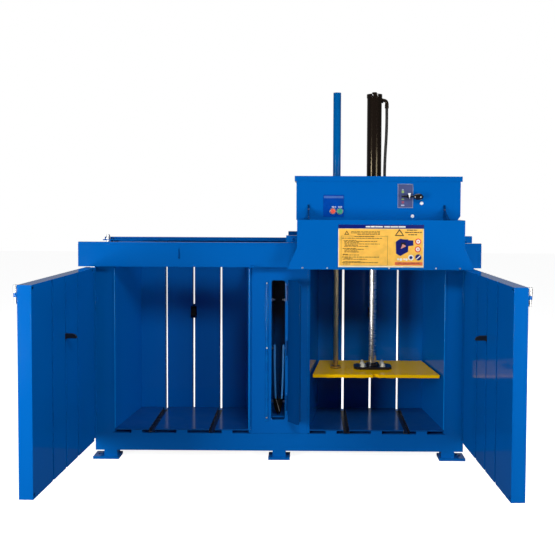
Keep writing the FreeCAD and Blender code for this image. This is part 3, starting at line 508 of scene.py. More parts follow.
# ------------------------------------------------------------------ finishes
@dataclass(frozen=True)
class Finish:
    """A surface finish: its name, record slot and colour."""

    name: str
    slot: Slot
    colour: Colour

    def shader(self, tree: Tree) -> bpy.types.Node:
        """Adds the surface shader with its own constant values.

        Args:
            tree: The material's tree.

        Returns:
            The Principled node.
        """
        raise NotImplementedError

    def material(self) -> bpy.types.Material:
        """Makes the material, or gives the one made before.

        Returns:
            The finished material.
        """
        found = bpy.data.materials.get(self.name)
        if found:
            return found
        made = bpy.data.materials.new(self.name)
        made.use_nodes = True
        made.diffuse_color = (*self.colour, 1.0)
        made.node_tree.nodes.clear()
        tree = Tree(made.node_tree)
        shader = self.shader(tree)
        tree.add("OutputMaterial", Surface=shader.outputs[0])
        return made

    @staticmethod
    def relief(tree: Tree, skin: bpy.types.Node, edge: bpy.types.Node,
               strength: float) -> bpy.types.NodeSocket:
        """Lays a skin's fine relief over softened edges.

        Args:
            tree: The material's tree.
            skin: Effect node that gives the height.
            edge: Effect node that gives the softened normal.
            strength: Share of the relief that shows.

        Returns:
            The normal's socket.
        """
        return tree.add("Bump", Height=skin.outputs["Height"], Normal=edge.outputs["Normal"],
                        Strength=strength, Distance=1.0).outputs[0]


@dataclass(frozen=True)
class Paint(Finish):
    """Glossy enamel sprayed on sheet steel."""

    roughness: float = 0.09
    specular: float = 0.5
    drift: float = 0.12
    wave: float = 0.0006
    # Edge mask amount and colour: worn paint, and a painted highlight along the edges where the colour is
    # lighter than the paint.
    wear_and_highlight: float = 0.25
    wear_and_highlight_colour: Colour = (0.02, 0.20, 0.60)
    dust: float = 0.03
    scuffs: float = 0.0
    scuff_colour: Colour = (0.4, 0.4, 0.4)
    tint: Colour = (1.0, 1.0, 1.0)
    edge: float = 0.0016
    peel: float = 0.000012
    scuff_cells: Point = (3.0, 14.0, 9.0)
    scuff_roughness: float = 0.3
    dust_roughness: float = 0.5
    bump: float = 0.6

    def shader(self, tree: Tree) -> bpy.types.Node:
        """Adds enamel with tone drift, waviness, edges in their own colour (worn paint, and a painted
        highlight where that colour is lighter), and dust.

        Args:
            tree: The material's tree.

        Returns:
            The shader node.
        """
        skin = Effects.place(tree, "sheet paint", Color=self.colour, Roughness=self.roughness,
                             Drift=self.drift, Wave=self.wave, Peel=self.peel)
        edge = Effects.place(tree, "edge wear", Radius=self.edge, Amount=self.wear_and_highlight)
        # Lays the edge colour on the edge mask: worn paint, and a painted highlight where that colour is
        # lighter than the paint.
        worn_and_highlit = tree.mix(edge.outputs["Mask"], skin.outputs["Color"], (*self.wear_and_highlight_colour, 1.0))
        roughness = skin.outputs["Roughness"]
        if self.scuffs:
            along_x, along_y, along_z = self.scuff_cells
            marks = Effects.place(tree, "scuffs", Along_X=along_x, Along_Y=along_y, Along_Z=along_z,
                                  Amount=self.scuffs)
            worn_and_highlit = tree.mix(marks.outputs["Mask"], worn_and_highlit, (*self.scuff_colour, 1.0))
            scuffed = tree.math("MULTIPLY", marks.outputs["Mask"], self.scuff_roughness)
            roughness = tree.math("ADD", roughness, scuffed)
        dusted = Effects.place(tree, "settled dust", Color=worn_and_highlit, Amount=self.dust)
        dusty = tree.math("MULTIPLY", dusted.outputs["Mask"], self.dust_roughness)
        roughness = tree.math("ADD", roughness, dusty)
        return tree.add("BsdfPrincipled", Base_Color=dusted.outputs["Color"], Roughness=roughness,
                        Normal=self.relief(tree, skin, edge, self.bump), Specular_IOR_Level=self.specular,
                        Specular_Tint=(*self.tint, 1.0))


@dataclass(frozen=True)
class Metal(Finish):
    """Bare, plated or ground metal."""

    roughness: float = 0.3
    grain: Grain = Grain.NONE
    depth: float = 0.00002
    edge: float = 0.0006
    anisotropic: float = 0.0
    bump: float = 0.8

    def shader(self, tree: Tree) -> bpy.types.Node:
        """Adds metal with its fine lines, stains and softened edges.

        Args:
            tree: The material's tree.

        Returns:
            The shader node.
        """
        along_x, along_y, along_z = self.grain.value
        skin = Effects.place(tree, "brushed metal", Color=self.colour, Roughness=self.roughness,
                             Along_X=along_x, Along_Y=along_y, Along_Z=along_z, Depth=self.depth)
        edge = Effects.place(tree, "edge wear", Radius=self.edge, Amount=0.0)
        return tree.add("BsdfPrincipled", Base_Color=skin.outputs["Color"],
                        Roughness=skin.outputs["Roughness"],
                        Normal=self.relief(tree, skin, edge, self.bump), Metallic=1.0,
                        Anisotropic=self.anisotropic)


@dataclass(frozen=True)
class Moulded(Finish):
    """Moulded plastic, rubber or a printed foil."""

    roughness: float = 0.4
    grain: float = 900.0
    depth: float = 0.00002
    specular: float = 0.5
    coat: float = 0.0
    edge: float = 0.0006
    bump: float = 0.8

    def shader(self, tree: Tree) -> bpy.types.Node:
        """Adds plastic or foil with faint grain and softened edges.

        Args:
            tree: The material's tree.

        Returns:
            The shader node.
        """
        skin = Effects.place(tree, "moulded grain", Color=self.colour, Roughness=self.roughness,
                             Grain=self.grain, Depth=self.depth)
        edge = Effects.place(tree, "edge wear", Radius=self.edge, Amount=0.0)
        return tree.add("BsdfPrincipled", Base_Color=skin.outputs["Color"],
                        Roughness=skin.outputs["Roughness"],
                        Normal=self.relief(tree, skin, edge, self.bump), Specular_IOR_Level=self.specular,
                        Coat_Weight=self.coat)


@dataclass(frozen=True)
class Ink(Moulded):
    """Printed foil or ink, nearly smooth."""

    roughness: float = 0.35
    depth: float = 0.00001


class Finishes:
    """Every finish of the machine; the first one of each slot is that slot's usual finish."""

    BLUE = Paint("blue enamel", Slot.BLUE, (0.0, 0.117, 0.46), specular=0.30)
    DARK_BLUE = Paint("dark blue enamel", Slot.DARK_BLUE, (0.004, 0.02, 0.09), wear_and_highlight_colour=(0.05, 0.12, 0.3))
    # Yellow enamel: its edges get a lighter yellow in random patches, partly wear and partly a painted
    # highlight along the edges.
    YELLOW = Paint("yellow enamel", Slot.YELLOW, (1.0, 0.57, 0.001), roughness=0.05, specular=0.03, wear_and_highlight=0.4,
                   wear_and_highlight_colour=(1.0, 0.80, 0.14), dust=0.0, scuffs=0.12, scuff_colour=(0.50, 0.33, 0.06))
    BLACK = Paint("black enamel", Slot.BLACK, (0.012, 0.008, 0.006), roughness=0.12, wear_and_highlight=0.2,
                  wear_and_highlight_colour=(0.12, 0.11, 0.10), drift=0.3, wave=0.0, tint=(1.0, 0.82, 0.52))
    ZINC = Metal("zinc plating", Slot.ZINC, (0.93, 0.93, 0.90), roughness=0.45)
    CHROME = Metal("hard chrome", Slot.CHROME, (0.80, 0.78, 0.74), roughness=0.25, grain=Grain.AROUND_Z,
                   depth=0.0000003, anisotropic=0.9)
    STEEL = Metal("bare steel", Slot.STEEL, (0.42, 0.43, 0.44), roughness=0.34, grain=Grain.ALONG_X)
    GALVANISED = Paint("worn strap channel", Slot.GALVANISED, (0.006, 0.010, 0.024), roughness=0.22,
                       specular=0.2, wear_and_highlight_colour=(0.25, 0.27, 0.30), wear_and_highlight=0.8)
    BLACK_PLASTIC = Moulded("black plastic", Slot.BLACK_PLASTIC, (0.012, 0.012, 0.013), roughness=0.36)
    RUBBER = Moulded("hose rubber", Slot.RUBBER, (0.018, 0.017, 0.016), roughness=0.5, grain=1400.0,
                     depth=0.0001)
    RED = Moulded("red push-button", Slot.RED_PLASTIC, (0.90, 0.20, 0.15), roughness=0.26, coat=0.3)
    GREEN = Moulded("green push-button", Slot.GREEN_PLASTIC, (0.09, 0.46, 0.28), roughness=0.26, coat=0.3)
    WHITE_PLASTIC = Moulded("white plastic", Slot.WHITE_PLASTIC, (0.92, 0.95, 0.94), roughness=0.3)
    PALE_BLUE = Moulded("blue grips", Slot.PALE_BLUE_PLASTIC, (0.03, 0.20, 0.50), roughness=0.34)
    PANEL = Ink("button panel foil", Slot.PANEL_PRINT, (0.0, 0.060, 0.37), roughness=0.3, specular=0.12)
    AMBER = Ink("amber foil", Slot.AMBER_PRINT, (1.0, 0.56, 0.090))
    GREY_FOIL = Ink("grey foil", Slot.GREY_PRINT, (0.062, 0.080, 0.21))
    CAST = Moulded("cast grey", Slot.CAST, (0.10, 0.11, 0.12), roughness=0.6, grain=300.0, depth=0.0002)

    GUIDE_STEEL = Metal("oiled guide rod", Slot.CHROME, (0.90, 0.68, 0.34), roughness=0.38,
                        grain=Grain.AROUND_Z, depth=0.0000003, anisotropic=0.9)
    FLANGE = Paint("black flange", Slot.DARK_BLUE, (0.005, 0.006, 0.012), roughness=0.3,
                   wear_and_highlight_colour=(0.10, 0.10, 0.12))
    BLADE = Metal("blackened blades", Slot.STEEL, (0.035, 0.032, 0.030), roughness=0.3, grain=Grain.ALONG_Z)
    BRIGHT = Metal("ground edge", Slot.STEEL, (0.97, 0.97, 0.95), roughness=0.4)
    # Chamber floors: a darker blue than the walls, with darker scuff marks.
    FLOOR = Paint("darker chamber floor enamel", Slot.BLUE, (0.0, 0.065, 0.27), roughness=0.14, wear_and_highlight=0.6, scuffs=0.3,
                  scuff_colour=(0.02, 0.05, 0.13))
    # Slot cover: a darker blue than the rest of the paint, a painted shade on the cover.
    COVER_PAINTED_SHADE = Paint("cover enamel with painted shade", Slot.BLUE, (0.0, 0.048, 0.20))
    # Centre column: its edges get a lighter blue in random patches, a painted highlight along the sheet's
    # bends.
    COLUMN_PAINTED_EDGE_HIGHLIGHT = Paint("column enamel with painted edge highlight", Slot.BLUE, (0.0, 0.115, 0.46), specular=0.38, wear_and_highlight=0.9, edge=0.006,
                   wear_and_highlight_colour=(0.0, 0.23, 0.70))
    WALL = Paint("wall enamel", Slot.BLUE, (0.0, 0.115, 0.46), specular=0.12)
    # A lighter blue than the paint, for the painted highlight along the sheet bends.
    BEND_HIGHLIGHT = Paint("bend highlight enamel", Slot.BLUE, (0.0, 0.23, 0.72), roughness=0.2, wear_and_highlight=0.0)
    FLAKE = Paint("zinc flake coat", Slot.ZINC, (0.70, 0.68, 0.58), roughness=0.35, wear_and_highlight=0.0)
    DOG = Moulded("dull black", Slot.BLACK_PLASTIC, (0.010, 0.010, 0.011), roughness=0.7, specular=0.15)
    # Gusset fins: a dark blue that paints the shade around them, with the usual blue on their edges as a
    # painted highlight.
    FIN_PAINTED_SHADE = Paint("fin enamel with painted shade and edge highlight", Slot.BLUE, (0.0, 0.030, 0.13), wear_and_highlight=0.6, wear_and_highlight_colour=(0.0, 0.115, 0.46))
    KNOB = Moulded("glossy knob", Slot.BLACK_PLASTIC, (0.010, 0.010, 0.011), roughness=0.12, specular=0.9,
                   coat=0.6)
    SLEEVE = Paint("sleeve enamel", Slot.BLUE, (0.0, 0.105, 0.35), roughness=0.06, specular=0.12)
    POCKET = Paint("pocket enamel", Slot.DARK_BLUE, (0.0, 0.09, 0.36))
    RED_CORE = Moulded("red button face", Slot.RED_PLASTIC, (0.82, 0.10, 0.07), roughness=0.3)
    GREEN_CORE = Moulded("green button face", Slot.GREEN_PLASTIC, (0.05, 0.36, 0.21), roughness=0.3)

    INK_NAVY = Ink("navy ink", Slot.AMBER_PRINT, (0.0, 0.008, 0.16))
    INK_BROWN = Ink("brown ink", Slot.AMBER_PRINT, (0.12, 0.050, 0.006))
    INK_CREAM = Ink("cream ink", Slot.AMBER_PRINT, (0.92, 0.80, 0.55))
    INK_PINK = Ink("pink ink", Slot.AMBER_PRINT, (0.70, 0.30, 0.27))
    INK_BLACK = Ink("black ink", Slot.AMBER_PRINT, (0.012, 0.010, 0.010))
    INK_WHITE = Ink("white ink", Slot.AMBER_PRINT, (0.88, 0.86, 0.82))
    INK_RED = Ink("red ink", Slot.AMBER_PRINT, (0.80, 0.05, 0.03))
    INK_ORANGE = Ink("orange ink", Slot.AMBER_PRINT, (0.88, 0.20, 0.08))
    INK_LILAC = Ink("lilac ink", Slot.PANEL_PRINT, (0.06, 0.15, 0.46))
    INK_LIME = Ink("lime ink", Slot.GREY_PRINT, (0.30, 0.46, 0.16))
    INK_PALE = Ink("pale ink", Slot.GREY_PRINT, (0.42, 0.48, 0.62))
    INK_SIGNAL = Ink("signal red ink", Slot.GREY_PRINT, (0.30, 0.07, 0.12))

    @classmethod
    def usual(cls) -> dict[str, Finish]:
        """Gives the usual finish of each record slot.

        Returns:
            Finishes by the name of their slot.
        """
        found: dict[str, Finish] = {}
        for finish in vars(cls).values():
            if isinstance(finish, Finish):
                found.setdefault(finish.slot.value, finish)
        return found


# ------------------------------------------------------------------ meshes
@dataclass
class Piece:
    """One dressed piece while its mesh is being made."""

    name: str
    body: Body
    finish: Finish
    more: list[Finish] = field(default_factory=list)
    corner_steps: int = 4
    bevel_steps: int = 2
    bevel_profile: float = 0.6
    head_sides: int = 20
    head_rim: float = 0.45
    head_dome: Pairs = ((0.4, 1.0), (0.75, 0.9), (1.0, 0.62))
    head_slot: float = 0.16
    dome_steps: int = 9
    bead_sides: int = 8
    bead_taper: Pair = (0.4, 6.0)
    ripple: float = 0.004
    ripples: tuple[int, int] = (6, 260)
    valley: float = 0.86
    ring_ripple: float = 0.0028
    fewest_on_ring: int = 14
    ring_valley: float = 0.84

    def __post_init__(self) -> None:
        """Starts an empty mesh."""
        self.mesh = bmesh.new()

    def loft(self, rings: Sequence[Sequence[Vector]], which: int = 0, joined: bool = False) -> None:
        """Skins a row of rings that have the same number of points.

        Args:
            rings: The rings in order.
            which: Number of the finish.
            joined: True joins the last ring to the first one; False puts a cap on both.
        """
        rows = [[self.mesh.verts.new(p) for p in ring] for ring in rings]
        faces = []
        pairs = list(zip(rows, rows[1:]))
        if joined:
            pairs.append((rows[-1], rows[0]))
        for low, high in pairs:
            for k in range(len(low)):
                n = (k + 1) % len(low)
                faces.append(self.mesh.faces.new((low[k], low[n], high[n], high[k])))
        if not joined:
            faces.append(self.mesh.faces.new(list(reversed(rows[0]))))
            faces.append(self.mesh.faces.new(rows[-1]))
        for face in faces:
            face.material_index = which

    @staticmethod
    def _across(axis: Vector) -> tuple[Vector, Vector, Vector]:
        """Gives an axis' direction and two directions across it.

        Args:
            axis: The axis, of any length.

        Returns:
            The direction and the two across it, each of length one.
        """
        direction = axis.normalized()
        upright = abs(direction.z) >= NEARLY_UPRIGHT
        across = (direction.orthogonal() if upright else direction.cross(UP)).normalized()
        return direction, across, direction.cross(across)

    @staticmethod
    def _circle(centre: Vector, across: Vector, upright: Vector, radius: float, sides: int,
                phase: float = 0.0) -> list[Vector]:
        """Gives the corners of a circle.

        Args:
            centre: Its middle.
            across: Direction of its first corner.
            upright: Direction of the corner a quarter turn on.
            radius: Its radius.
            sides: Number of corners.
            phase: Turn of the first corner.

        Returns:
            The corners in order.
        """
        angles = [phase + 2 * math.pi * k / sides for k in range(sides)]
        return [centre + across * (radius * math.cos(angle)) + upright * (radius * math.sin(angle))
                for angle in angles]

    def turned(self, base: Vector, axis: Vector, profile: Sequence[Pair], sides: int = 32, which: int = 0,
               phase: float = 0.0, joined: bool = False) -> None:
        """Turns a profile about an axis.

        Args:
            base: Point on the axis where the profile's heights start.
            axis: Direction of the axis.
            profile: Pairs of height along the axis and radius.
            sides: Number of sides.
            which: Number of the finish.
            phase: Turn of the first corner about the axis.
            joined: True closes the profile on itself, as for a pipe or a ring.
        """
        direction, across, upright = self._across(axis)
        rings = [self._circle(base + direction * height, across, upright, radius, sides, phase)
                 for height, radius in profile]
        self.loft(rings, which, joined)

    def slotted_head(self, base: Vector, axis: Vector, radius: float, height: float, turn: float) -> None:
        """Adds a domed screw head with its slot.

        Args:
            base: Middle of the head's seat.
            axis: Direction that the head looks in.
            radius: Radius of the head.
            height: Height of the dome.
            turn: Angle of the slot.
        """
        half_slot, steps = self.head_slot * radius, self.dome_steps
        rim = [(0.0, radius), (self.head_rim * height, radius)]
        self.turned(base, axis, rim, sides=self.head_sides)
        direction, across, upright = self._across(axis)
        along = across * math.cos(turn) + upright * math.sin(turn)
        beside = upright * math.cos(turn) - across * math.sin(turn)
        for sign in (1, -1):
            rings = []
            for level, size in self.head_dome:
                reach = radius * size
                first = math.asin(half_slot / reach)
                angles = [first + (math.pi - 2 * first) * k / steps for k in range(steps + 1)]
                rings.append([base + direction * (level * height) + along * (reach * math.cos(angle))
                              + beside * (sign * reach * math.sin(angle)) for angle in angles])
            self.loft(rings)

    def ring_bead(self, centre: Vector, axis: Vector, radius: float, size: float) -> None:
        """Lays a weld bead with its ripples around a round foot.

        Args:
            centre: Middle of the ring.
            axis: Axis of the round foot.
            radius: Radius of the ring.
            size: Radius of the bead.
        """
        direction, across, upright = self._across(axis)
        count = 2 * max(self.fewest_on_ring, int(radius * math.pi / self.ring_ripple))
        rings = []
        for k in range(count):
            angle = 2 * math.pi * k / count
            outward = across * math.cos(angle) + upright * math.sin(angle)
            thick = size * (1.0 if k % 2 else self.ring_valley)
            rings.append(self._circle(centre + outward * radius, outward, direction, thick, self.bead_sides))
        self.loft(rings, joined=True)

    def slab(self, low: Vector, high: Vector, corner: float = 0.0, which: int = 0) -> None:
        """Adds a plate that faces -Y and whose four corners are rounded.

        Args:
            low: Lowest corner.
            high: Highest corner.
            corner: Corner radius.
            which: Number of the finish.
        """
        steps = self.corner_steps if corner > 0 else 0
        outline = []
        for right, top, start in ((1, 1, 0.0), (0, 1, 0.5), (0, 0, 1.0), (1, 0, 1.5)):
            x = (high.x - corner) if right else (low.x + corner)
            z = (high.z - corner) if top else (low.z + corner)
            for k in range(steps + 1):
                angle = math.pi * (start + 0.5 * (k / steps if steps else 0.5))
                outline.append((x + corner * math.cos(angle), z + corner * math.sin(angle)))
        self.loft([[Vector((x, y, z)) for x, z in outline] for y in (low.y, high.y)], which)

    def plate(self, outline: Sequence[Pair], front: float, back: float, which: int = 0) -> None:
        """Adds a flat plate that faces -Y, from its outline in X and Z.

        Args:
            outline: Corners in order.
            front: Y of the front face.
            back: Y of the back face.
            which: Number of the finish.
        """
        rings = [[Vector((x, y, z)) for x, z in outline] for y in (back, front)]
        self.loft(rings, which)

    def tube(self, points: Sequence[Vector], radius: float, sides: int,
             swell: Callable[[float], float] | None = None) -> None:
        """Adds a round bar through points.

        Args:
            points: Points of its centre line.
            radius: Its radius.
            sides: Number of sides.
            swell: Optional factor on the radius at a share of the length.
        """
        rings = []
        for k, here in enumerate(points):
            before = points[max(k - 1, 0)]
            after = points[min(k + 1, len(points) - 1)]
            direction = (after - before).normalized()
            across = direction.cross(SKEW).normalized()
            size = radius * (swell(k / (len(points) - 1)) if swell else 1.0)
            rings.append(self._circle(here, across, direction.cross(across), size, sides))
        self.loft(rings)

    def bead(self, start: Vector, end: Vector, size: float) -> None:
        """Lays a weld bead with its ripples along a straight seam.

        Args:
            start: Start of the seam.
            end: End of the seam.
            size: Radius of the bead.
        """
        fewest, most = self.ripples
        count = min(most, max(fewest, int((end - start).length / (self.ripple / 2))))
        points = [start.lerp(end, k / count) for k in range(count + 1)]
        tip, rise = self.bead_taper

        def ripple(share: float) -> float:
            """Gives the bead's size at a place on the seam.

            Args:
                share: Share of the seam's length.

            Returns:
                The factor on its radius.
            """
            step = round(share * count)
            end_taper = min(1.0, tip + rise * min(share, 1.0 - share))
            return end_taper * (1.0 if step % 2 else self.valley)

        self.tube(points, size, self.bead_sides, swell=ripple)

    def done(self, smooth_angle: float = 35.0, bevel: float = 0.0) -> bpy.types.Object:
        """Turns the mesh into an object that rides on its body.

        Args:
            smooth_angle: Faces that meet at less than this angle are shaded smooth.
            bevel: Width of a bevel on sharp edges, or 0 for none.

        Returns:
            The finished object.
        """
        bmesh.ops.recalc_face_normals(self.mesh, faces=self.mesh.faces)
        limit = math.radians(smooth_angle)
        if bevel > 0:
            sharp = [edge for edge in self.mesh.edges
                     if len(edge.link_faces) == 2 and edge.calc_face_angle(0.0) > limit]
            bmesh.ops.bevel(self.mesh, geom=sharp, offset=bevel, segments=self.bevel_steps,
                            affect="EDGES", profile=self.bevel_profile, clamp_overlap=True)
        for face in self.mesh.faces:
            face.smooth = True
        for edge in self.mesh.edges:
            edge.smooth = len(edge.link_faces) == 2 and edge.calc_face_angle(0.0) < limit
        data = bpy.data.meshes.new(self.name)
        self.mesh.to_mesh(data)
        self.mesh.free()
        for finish in [self.finish, *self.more]:
            data.materials.append(finish.material())
        piece = bpy.data.objects.new(self.name, data)
        bpy.context.scene.collection.objects.link(piece)
        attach(piece, self.body.value)
        LOG.info("piece %s: %d faces, rides on %s", self.name, len(data.polygons), self.body.value)
        return piece


class Datum:
    """Turns the machine's own millimetres into the frame's metres.

    The machine's X starts at its middle, its Y at the front faces of the pillars and its Z at the
    chamber floor.
    """

    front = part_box("pillars")[0].y
    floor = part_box("chamber_floors")[1].z

    @classmethod
    def at(cls, x: float, y: float, z: float) -> Vector:
        """Gives a point of the machine in the frame."""
        return Vector((x * MM, cls.front + y * MM, cls.floor + z * MM))


class Assembly:
    """A sub-assembly of the machine that builds and dresses its own pieces."""

    def build(self) -> None:
        """Builds every piece of the sub-assembly."""
        raise NotImplementedError


# ------------------------------------------------------------------ finishes on the carried-over nodes
@dataclass
class CarriedNodes(Assembly):
    """Gives every carried-over node the usual finish of its record slot, or one of its own."""

    repaint: dict[str, Finish] = field(default_factory=lambda: {
        "guide_rod": Finishes.GUIDE_STEEL,
        "rod_flange": Finishes.FLANGE,
        "chamber_floors": Finishes.FLOOR,
        "slot_cover": Finishes.COVER_PAINTED_SHADE,
        "tool_pocket": Finishes.POCKET,
        "guide_sleeve": Finishes.SLEEVE,
        "control_lever": Finishes.KNOB,
        "left_dog": Finishes.DOG,
        "right_dog": Finishes.DOG,
        "centre_column": Finishes.COLUMN_PAINTED_EDGE_HIGHLIGHT,
        "outer_walls": Finishes.WALL,
        "inner_walls": Finishes.WALL,
        "left_door_pan": Finishes.WALL,
        "right_door_pan": Finishes.WALL,
    })

    def build(self) -> None:
        """Assigns the finishes."""
        usual = Finishes.usual()
        slots = {entry["node"]: entry["material_slot"] for entry in frame["record"]["subparts"]}
        for name, node in frame["nodes"].items():
            finish = self.repaint.get(name) or usual[slots[name]]
            node.data.materials.clear()
            node.data.materials.append(finish.material())
            LOG.info("node %s: %s", name, finish.name)


# ------------------------------------------------------------------ instruction label
@dataclass
class InstructionLabel(Assembly):
    """Coloured fields and simple figures on the instruction plate, with no words.

    Places on the plate are counted in units from its upper left corner, right and down. A field is
    given by its left, right, upper and lower edge, and a row of strokes by its middle and its ends.
    """

    units: Pair = (1375.0, 690.0)
    proud: float = 0.2
    stroke_lengths: Numbers = (44.0, 26.0, 62.0, 34.0, 18.0, 50.0, 30.0)
    stroke_gap: float = 9.0
    shortest_stroke: float = 8.0
    print_height: float = 10.5
    heading: Quad = (0.0, 1375.0, 0.0, 64.0)
    heading_strokes: Pairs = ((440, 510), (519, 585), (592, 715), (735, 830), (839, 960), (968, 1080))
    heading_rows: Pair = (22.0, 44.0)
    cream_rims: Quads = ((0, 1375, 64, 70), (0, 1375, 665, 690), (0, 14, 60, 665), (1361, 1375, 60, 665))
    brown_rows: tuple[Point, ...] = (
        (115, 205, 670), (135, 205, 670), (157, 305, 670), (193, 260, 575), (255, 85, 295), (273, 95, 625),
        (293, 100, 345), (313, 100, 670), (333, 110, 315), (350, 95, 480), (387, 70, 280), (400, 100, 410),
        (425, 100, 305), (443, 100, 345), (480, 75, 165), (492, 70, 345), (543, 100, 245), (560, 75, 480),
        (600, 85, 365), (615, 65, 640), (637, 75, 200))
    black_rows: tuple[Point, ...] = ((220, 55, 705), (525, 65, 670))
    brown_frame: Quads = ((45, 795, 185, 189), (45, 795, 656, 660), (45, 49, 189, 656), (791, 795, 189, 656))
    small_triangle: Quad = (95, 175, 95, 165)
    large_triangle: Quad = (905, 1060, 65, 180)
    triangle_rims: Pair = (11.0, 15.0)
    triangle_side: float = 1.7
    triangle_tip: float = 2.1
    side_rows: tuple[tuple[float, float, float, int], ...] = (
        (85.0, 1105.0, 1265.0, 1), (122.0, 1072.0, 1340.0, 2), (160.0, 1125.0, 1265.0, 1))
    side_height: float = 15.0
    press: Pairs = ((925, 275), (995, 225), (1055, 235), (1125, 235), (1125, 250), (1205, 250), (1210, 335),
                    (1125, 345), (1125, 435), (1000, 505), (930, 465))
    press_opening: Quad = (1005, 1085, 285, 375)
    press_arrow: Pairs = ((1005, 390), (1095, 345), (1035, 310))
    goods: tuple[Point, ...] = ((965, 556, 17), (1010, 562, 22), (1062, 556, 15), (1100, 562, 20))
    wheel: Point = (1170, 530, 46)
    wheel_hub: float = 26.0
    red_discs: Pairs = ((1285, 270), (1280, 395))
    blue_disc: Pair = (1290, 525)
    disc_radius: float = 50.0
    disc_shares: Pair = (0.66, 0.30)
    diagonal: Pairs = ((1262, 560), (1252, 550), (1318, 490), (1328, 500))
    orange_field: Quad = (910, 1361, 603, 653)
    cream_rows: tuple[tuple[float, float, float, float, int], ...] = (
        (620.0, 940.0, 1320.0, 9.0, 2), (637.0, 940.0, 1200.0, 6.0, 4))

    def __post_init__(self) -> None:
        """Reads the plate's place and starts the print."""
        self.low, self.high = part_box("instruction_plate")
        self.piece = Piece("instruction_print", Body.FRAME, Finishes.INK_NAVY,
                           [Finishes.INK_BLACK, Finishes.INK_WHITE, Finishes.INK_RED, Finishes.INK_ORANGE,
                            Finishes.INK_BROWN, Finishes.INK_CREAM, Finishes.INK_PINK, Finishes.AMBER])

    def _spot(self, u: float, v: float) -> Pair:
        """Gives the X and Z of a place on the plate."""
        width, height = self.high.x - self.low.x, self.high.z - self.low.z
        return self.low.x + u / self.units[0] * width, self.high.z - v / self.units[1] * height

    def _shape(self, outline: Sequence[Pair], ink: LabelInk, layer: int = 1) -> None:
        """Prints a closed outline.

        Args:
            outline: Its corners in plate units.
            ink: The ink.
            layer: How many layers of ink it stands on.
        """
        front = self.low.y - self.proud * layer * MM
        self.piece.plate([self._spot(u, v) for u, v in outline], front, self.low.y, ink)

    def _field(self, edges: Quad, ink: LabelInk, layer: int = 1) -> None:
        """Prints an upright field inside its left, right, upper and lower edge."""
        u0, u1, v0, v1 = edges
        self._shape([(u0, v0), (u1, v0), (u1, v1), (u0, v1)], ink, layer)

    def _row(self, v: float, u0: float, u1: float, ink: LabelInk, tall: float, first: int) -> None:
        """Prints a row of short strokes that stands for a line of small print.

        Args:
            v: Middle of the row.
            u0: Its start.
            u1: Its end.
            ink: The ink.
            tall: Height of the strokes.
            first: Which stroke length comes first.
        """
        at, k = u0, first
        while at < u1 - self.shortest_stroke:
            stop = min(u1, at + self.stroke_lengths[k % len(self.stroke_lengths)])
            self._field((at, stop, v - tall / 2, v + tall / 2), ink)
            at, k = stop + self.stroke_gap, k + 1

    def _triangle(self, edges: Quad, rim: float, ink: LabelInk) -> None:
        """Prints an upright triangle with an amber middle.

        Args:
            edges: Its left, right, upper and lower edge.
            rim: Width of its outline.
            ink: Ink of its outline.
        """
        u0, u1, v0, v1 = edges
        middle = (u0 + u1) / 2
        side, tip = self.triangle_side * rim, self.triangle_tip * rim
        self._shape([(middle, v0), (u1, v1), (u0, v1)], ink)
        self._shape([(middle, v0 + tip), (u1 - side, v1 - rim), (u0 + side, v1 - rim)], LabelInk.AMBER, 2)

    def _disc(self, u: float, v: float, radius: float, ink: LabelInk, layer: int = 1) -> None:
        """Prints a round mark.

        Args:
            u: Its middle, from the left.
            v: Its middle, from the top.
            radius: Its radius.
            ink: Its ink.
            layer: How many layers of ink it stands on.
        """
        x, z = self._spot(u, v)
        size = radius / self.units[0] * (self.high.x - self.low.x)
        profile = [(0.0, size), (self.proud * layer * MM, size)]
        self.piece.turned(Vector((x, self.low.y, z)), FORWARD, profile, sides=28, which=ink)

    def _left_half(self) -> None:
        """Prints the rows of strokes, their frame and the small triangle."""
        for rows, ink in ((self.brown_rows, LabelInk.BROWN), (self.black_rows, LabelInk.BLACK)):
            for k, row in enumerate(rows):
                self._row(*row, ink, self.print_height, k)
        for line in self.brown_frame:
            self._field(line, LabelInk.BROWN)
        self._triangle(self.small_triangle, self.triangle_rims[0], LabelInk.BROWN)

    def _pictogram(self) -> None:
        """Prints the plain figure of a press and the loose goods beside it."""
        self._shape(self.press, LabelInk.NAVY)
        self._field(self.press_opening, LabelInk.BLACK, 2)
        self._shape(self.press_arrow, LabelInk.PINK, 3)
        for u, v, size in (*self.goods, self.wheel):
            self._disc(u, v, size, LabelInk.WHITE)
        self._disc(*self.wheel[:2], self.wheel_hub, LabelInk.NAVY, 2)

    def _discs(self) -> None:
        """Prints the column of round marks, the lowest one with a plain diagonal bar."""
        white_share, pink_share = self.disc_shares
        for u, v in self.red_discs:
            self._disc(u, v, self.disc_radius, LabelInk.RED)
            self._disc(u, v, white_share * self.disc_radius, LabelInk.WHITE, 2)
            self._disc(u, v, pink_share * self.disc_radius, LabelInk.PINK, 3)
        self._disc(*self.blue_disc, self.disc_radius, LabelInk.NAVY)
        self._shape(self.diagonal, LabelInk.WHITE, 2)

    def build(self) -> None:
        """Builds the print."""
        self._field(self.heading, LabelInk.NAVY)
        for stroke in self.heading_strokes:
            self._field((*stroke, *self.heading_rows), LabelInk.WHITE, 2)
        for rim in self.cream_rims:
            self._field(rim, LabelInk.CREAM)
        self._left_half()
        self._triangle(self.large_triangle, self.triangle_rims[1], LabelInk.BLACK)
        for v, u0, u1, first in self.side_rows:
            self._row(v, u0, u1, LabelInk.BLACK, self.side_height, first)
        self._pictogram()
        self._discs()
        self._field(self.orange_field, LabelInk.ORANGE)
        for v, u0, u1, tall, first in self.cream_rows:
            self._row(v, u0, u1, LabelInk.CREAM, tall, first)
        self.piece.done()


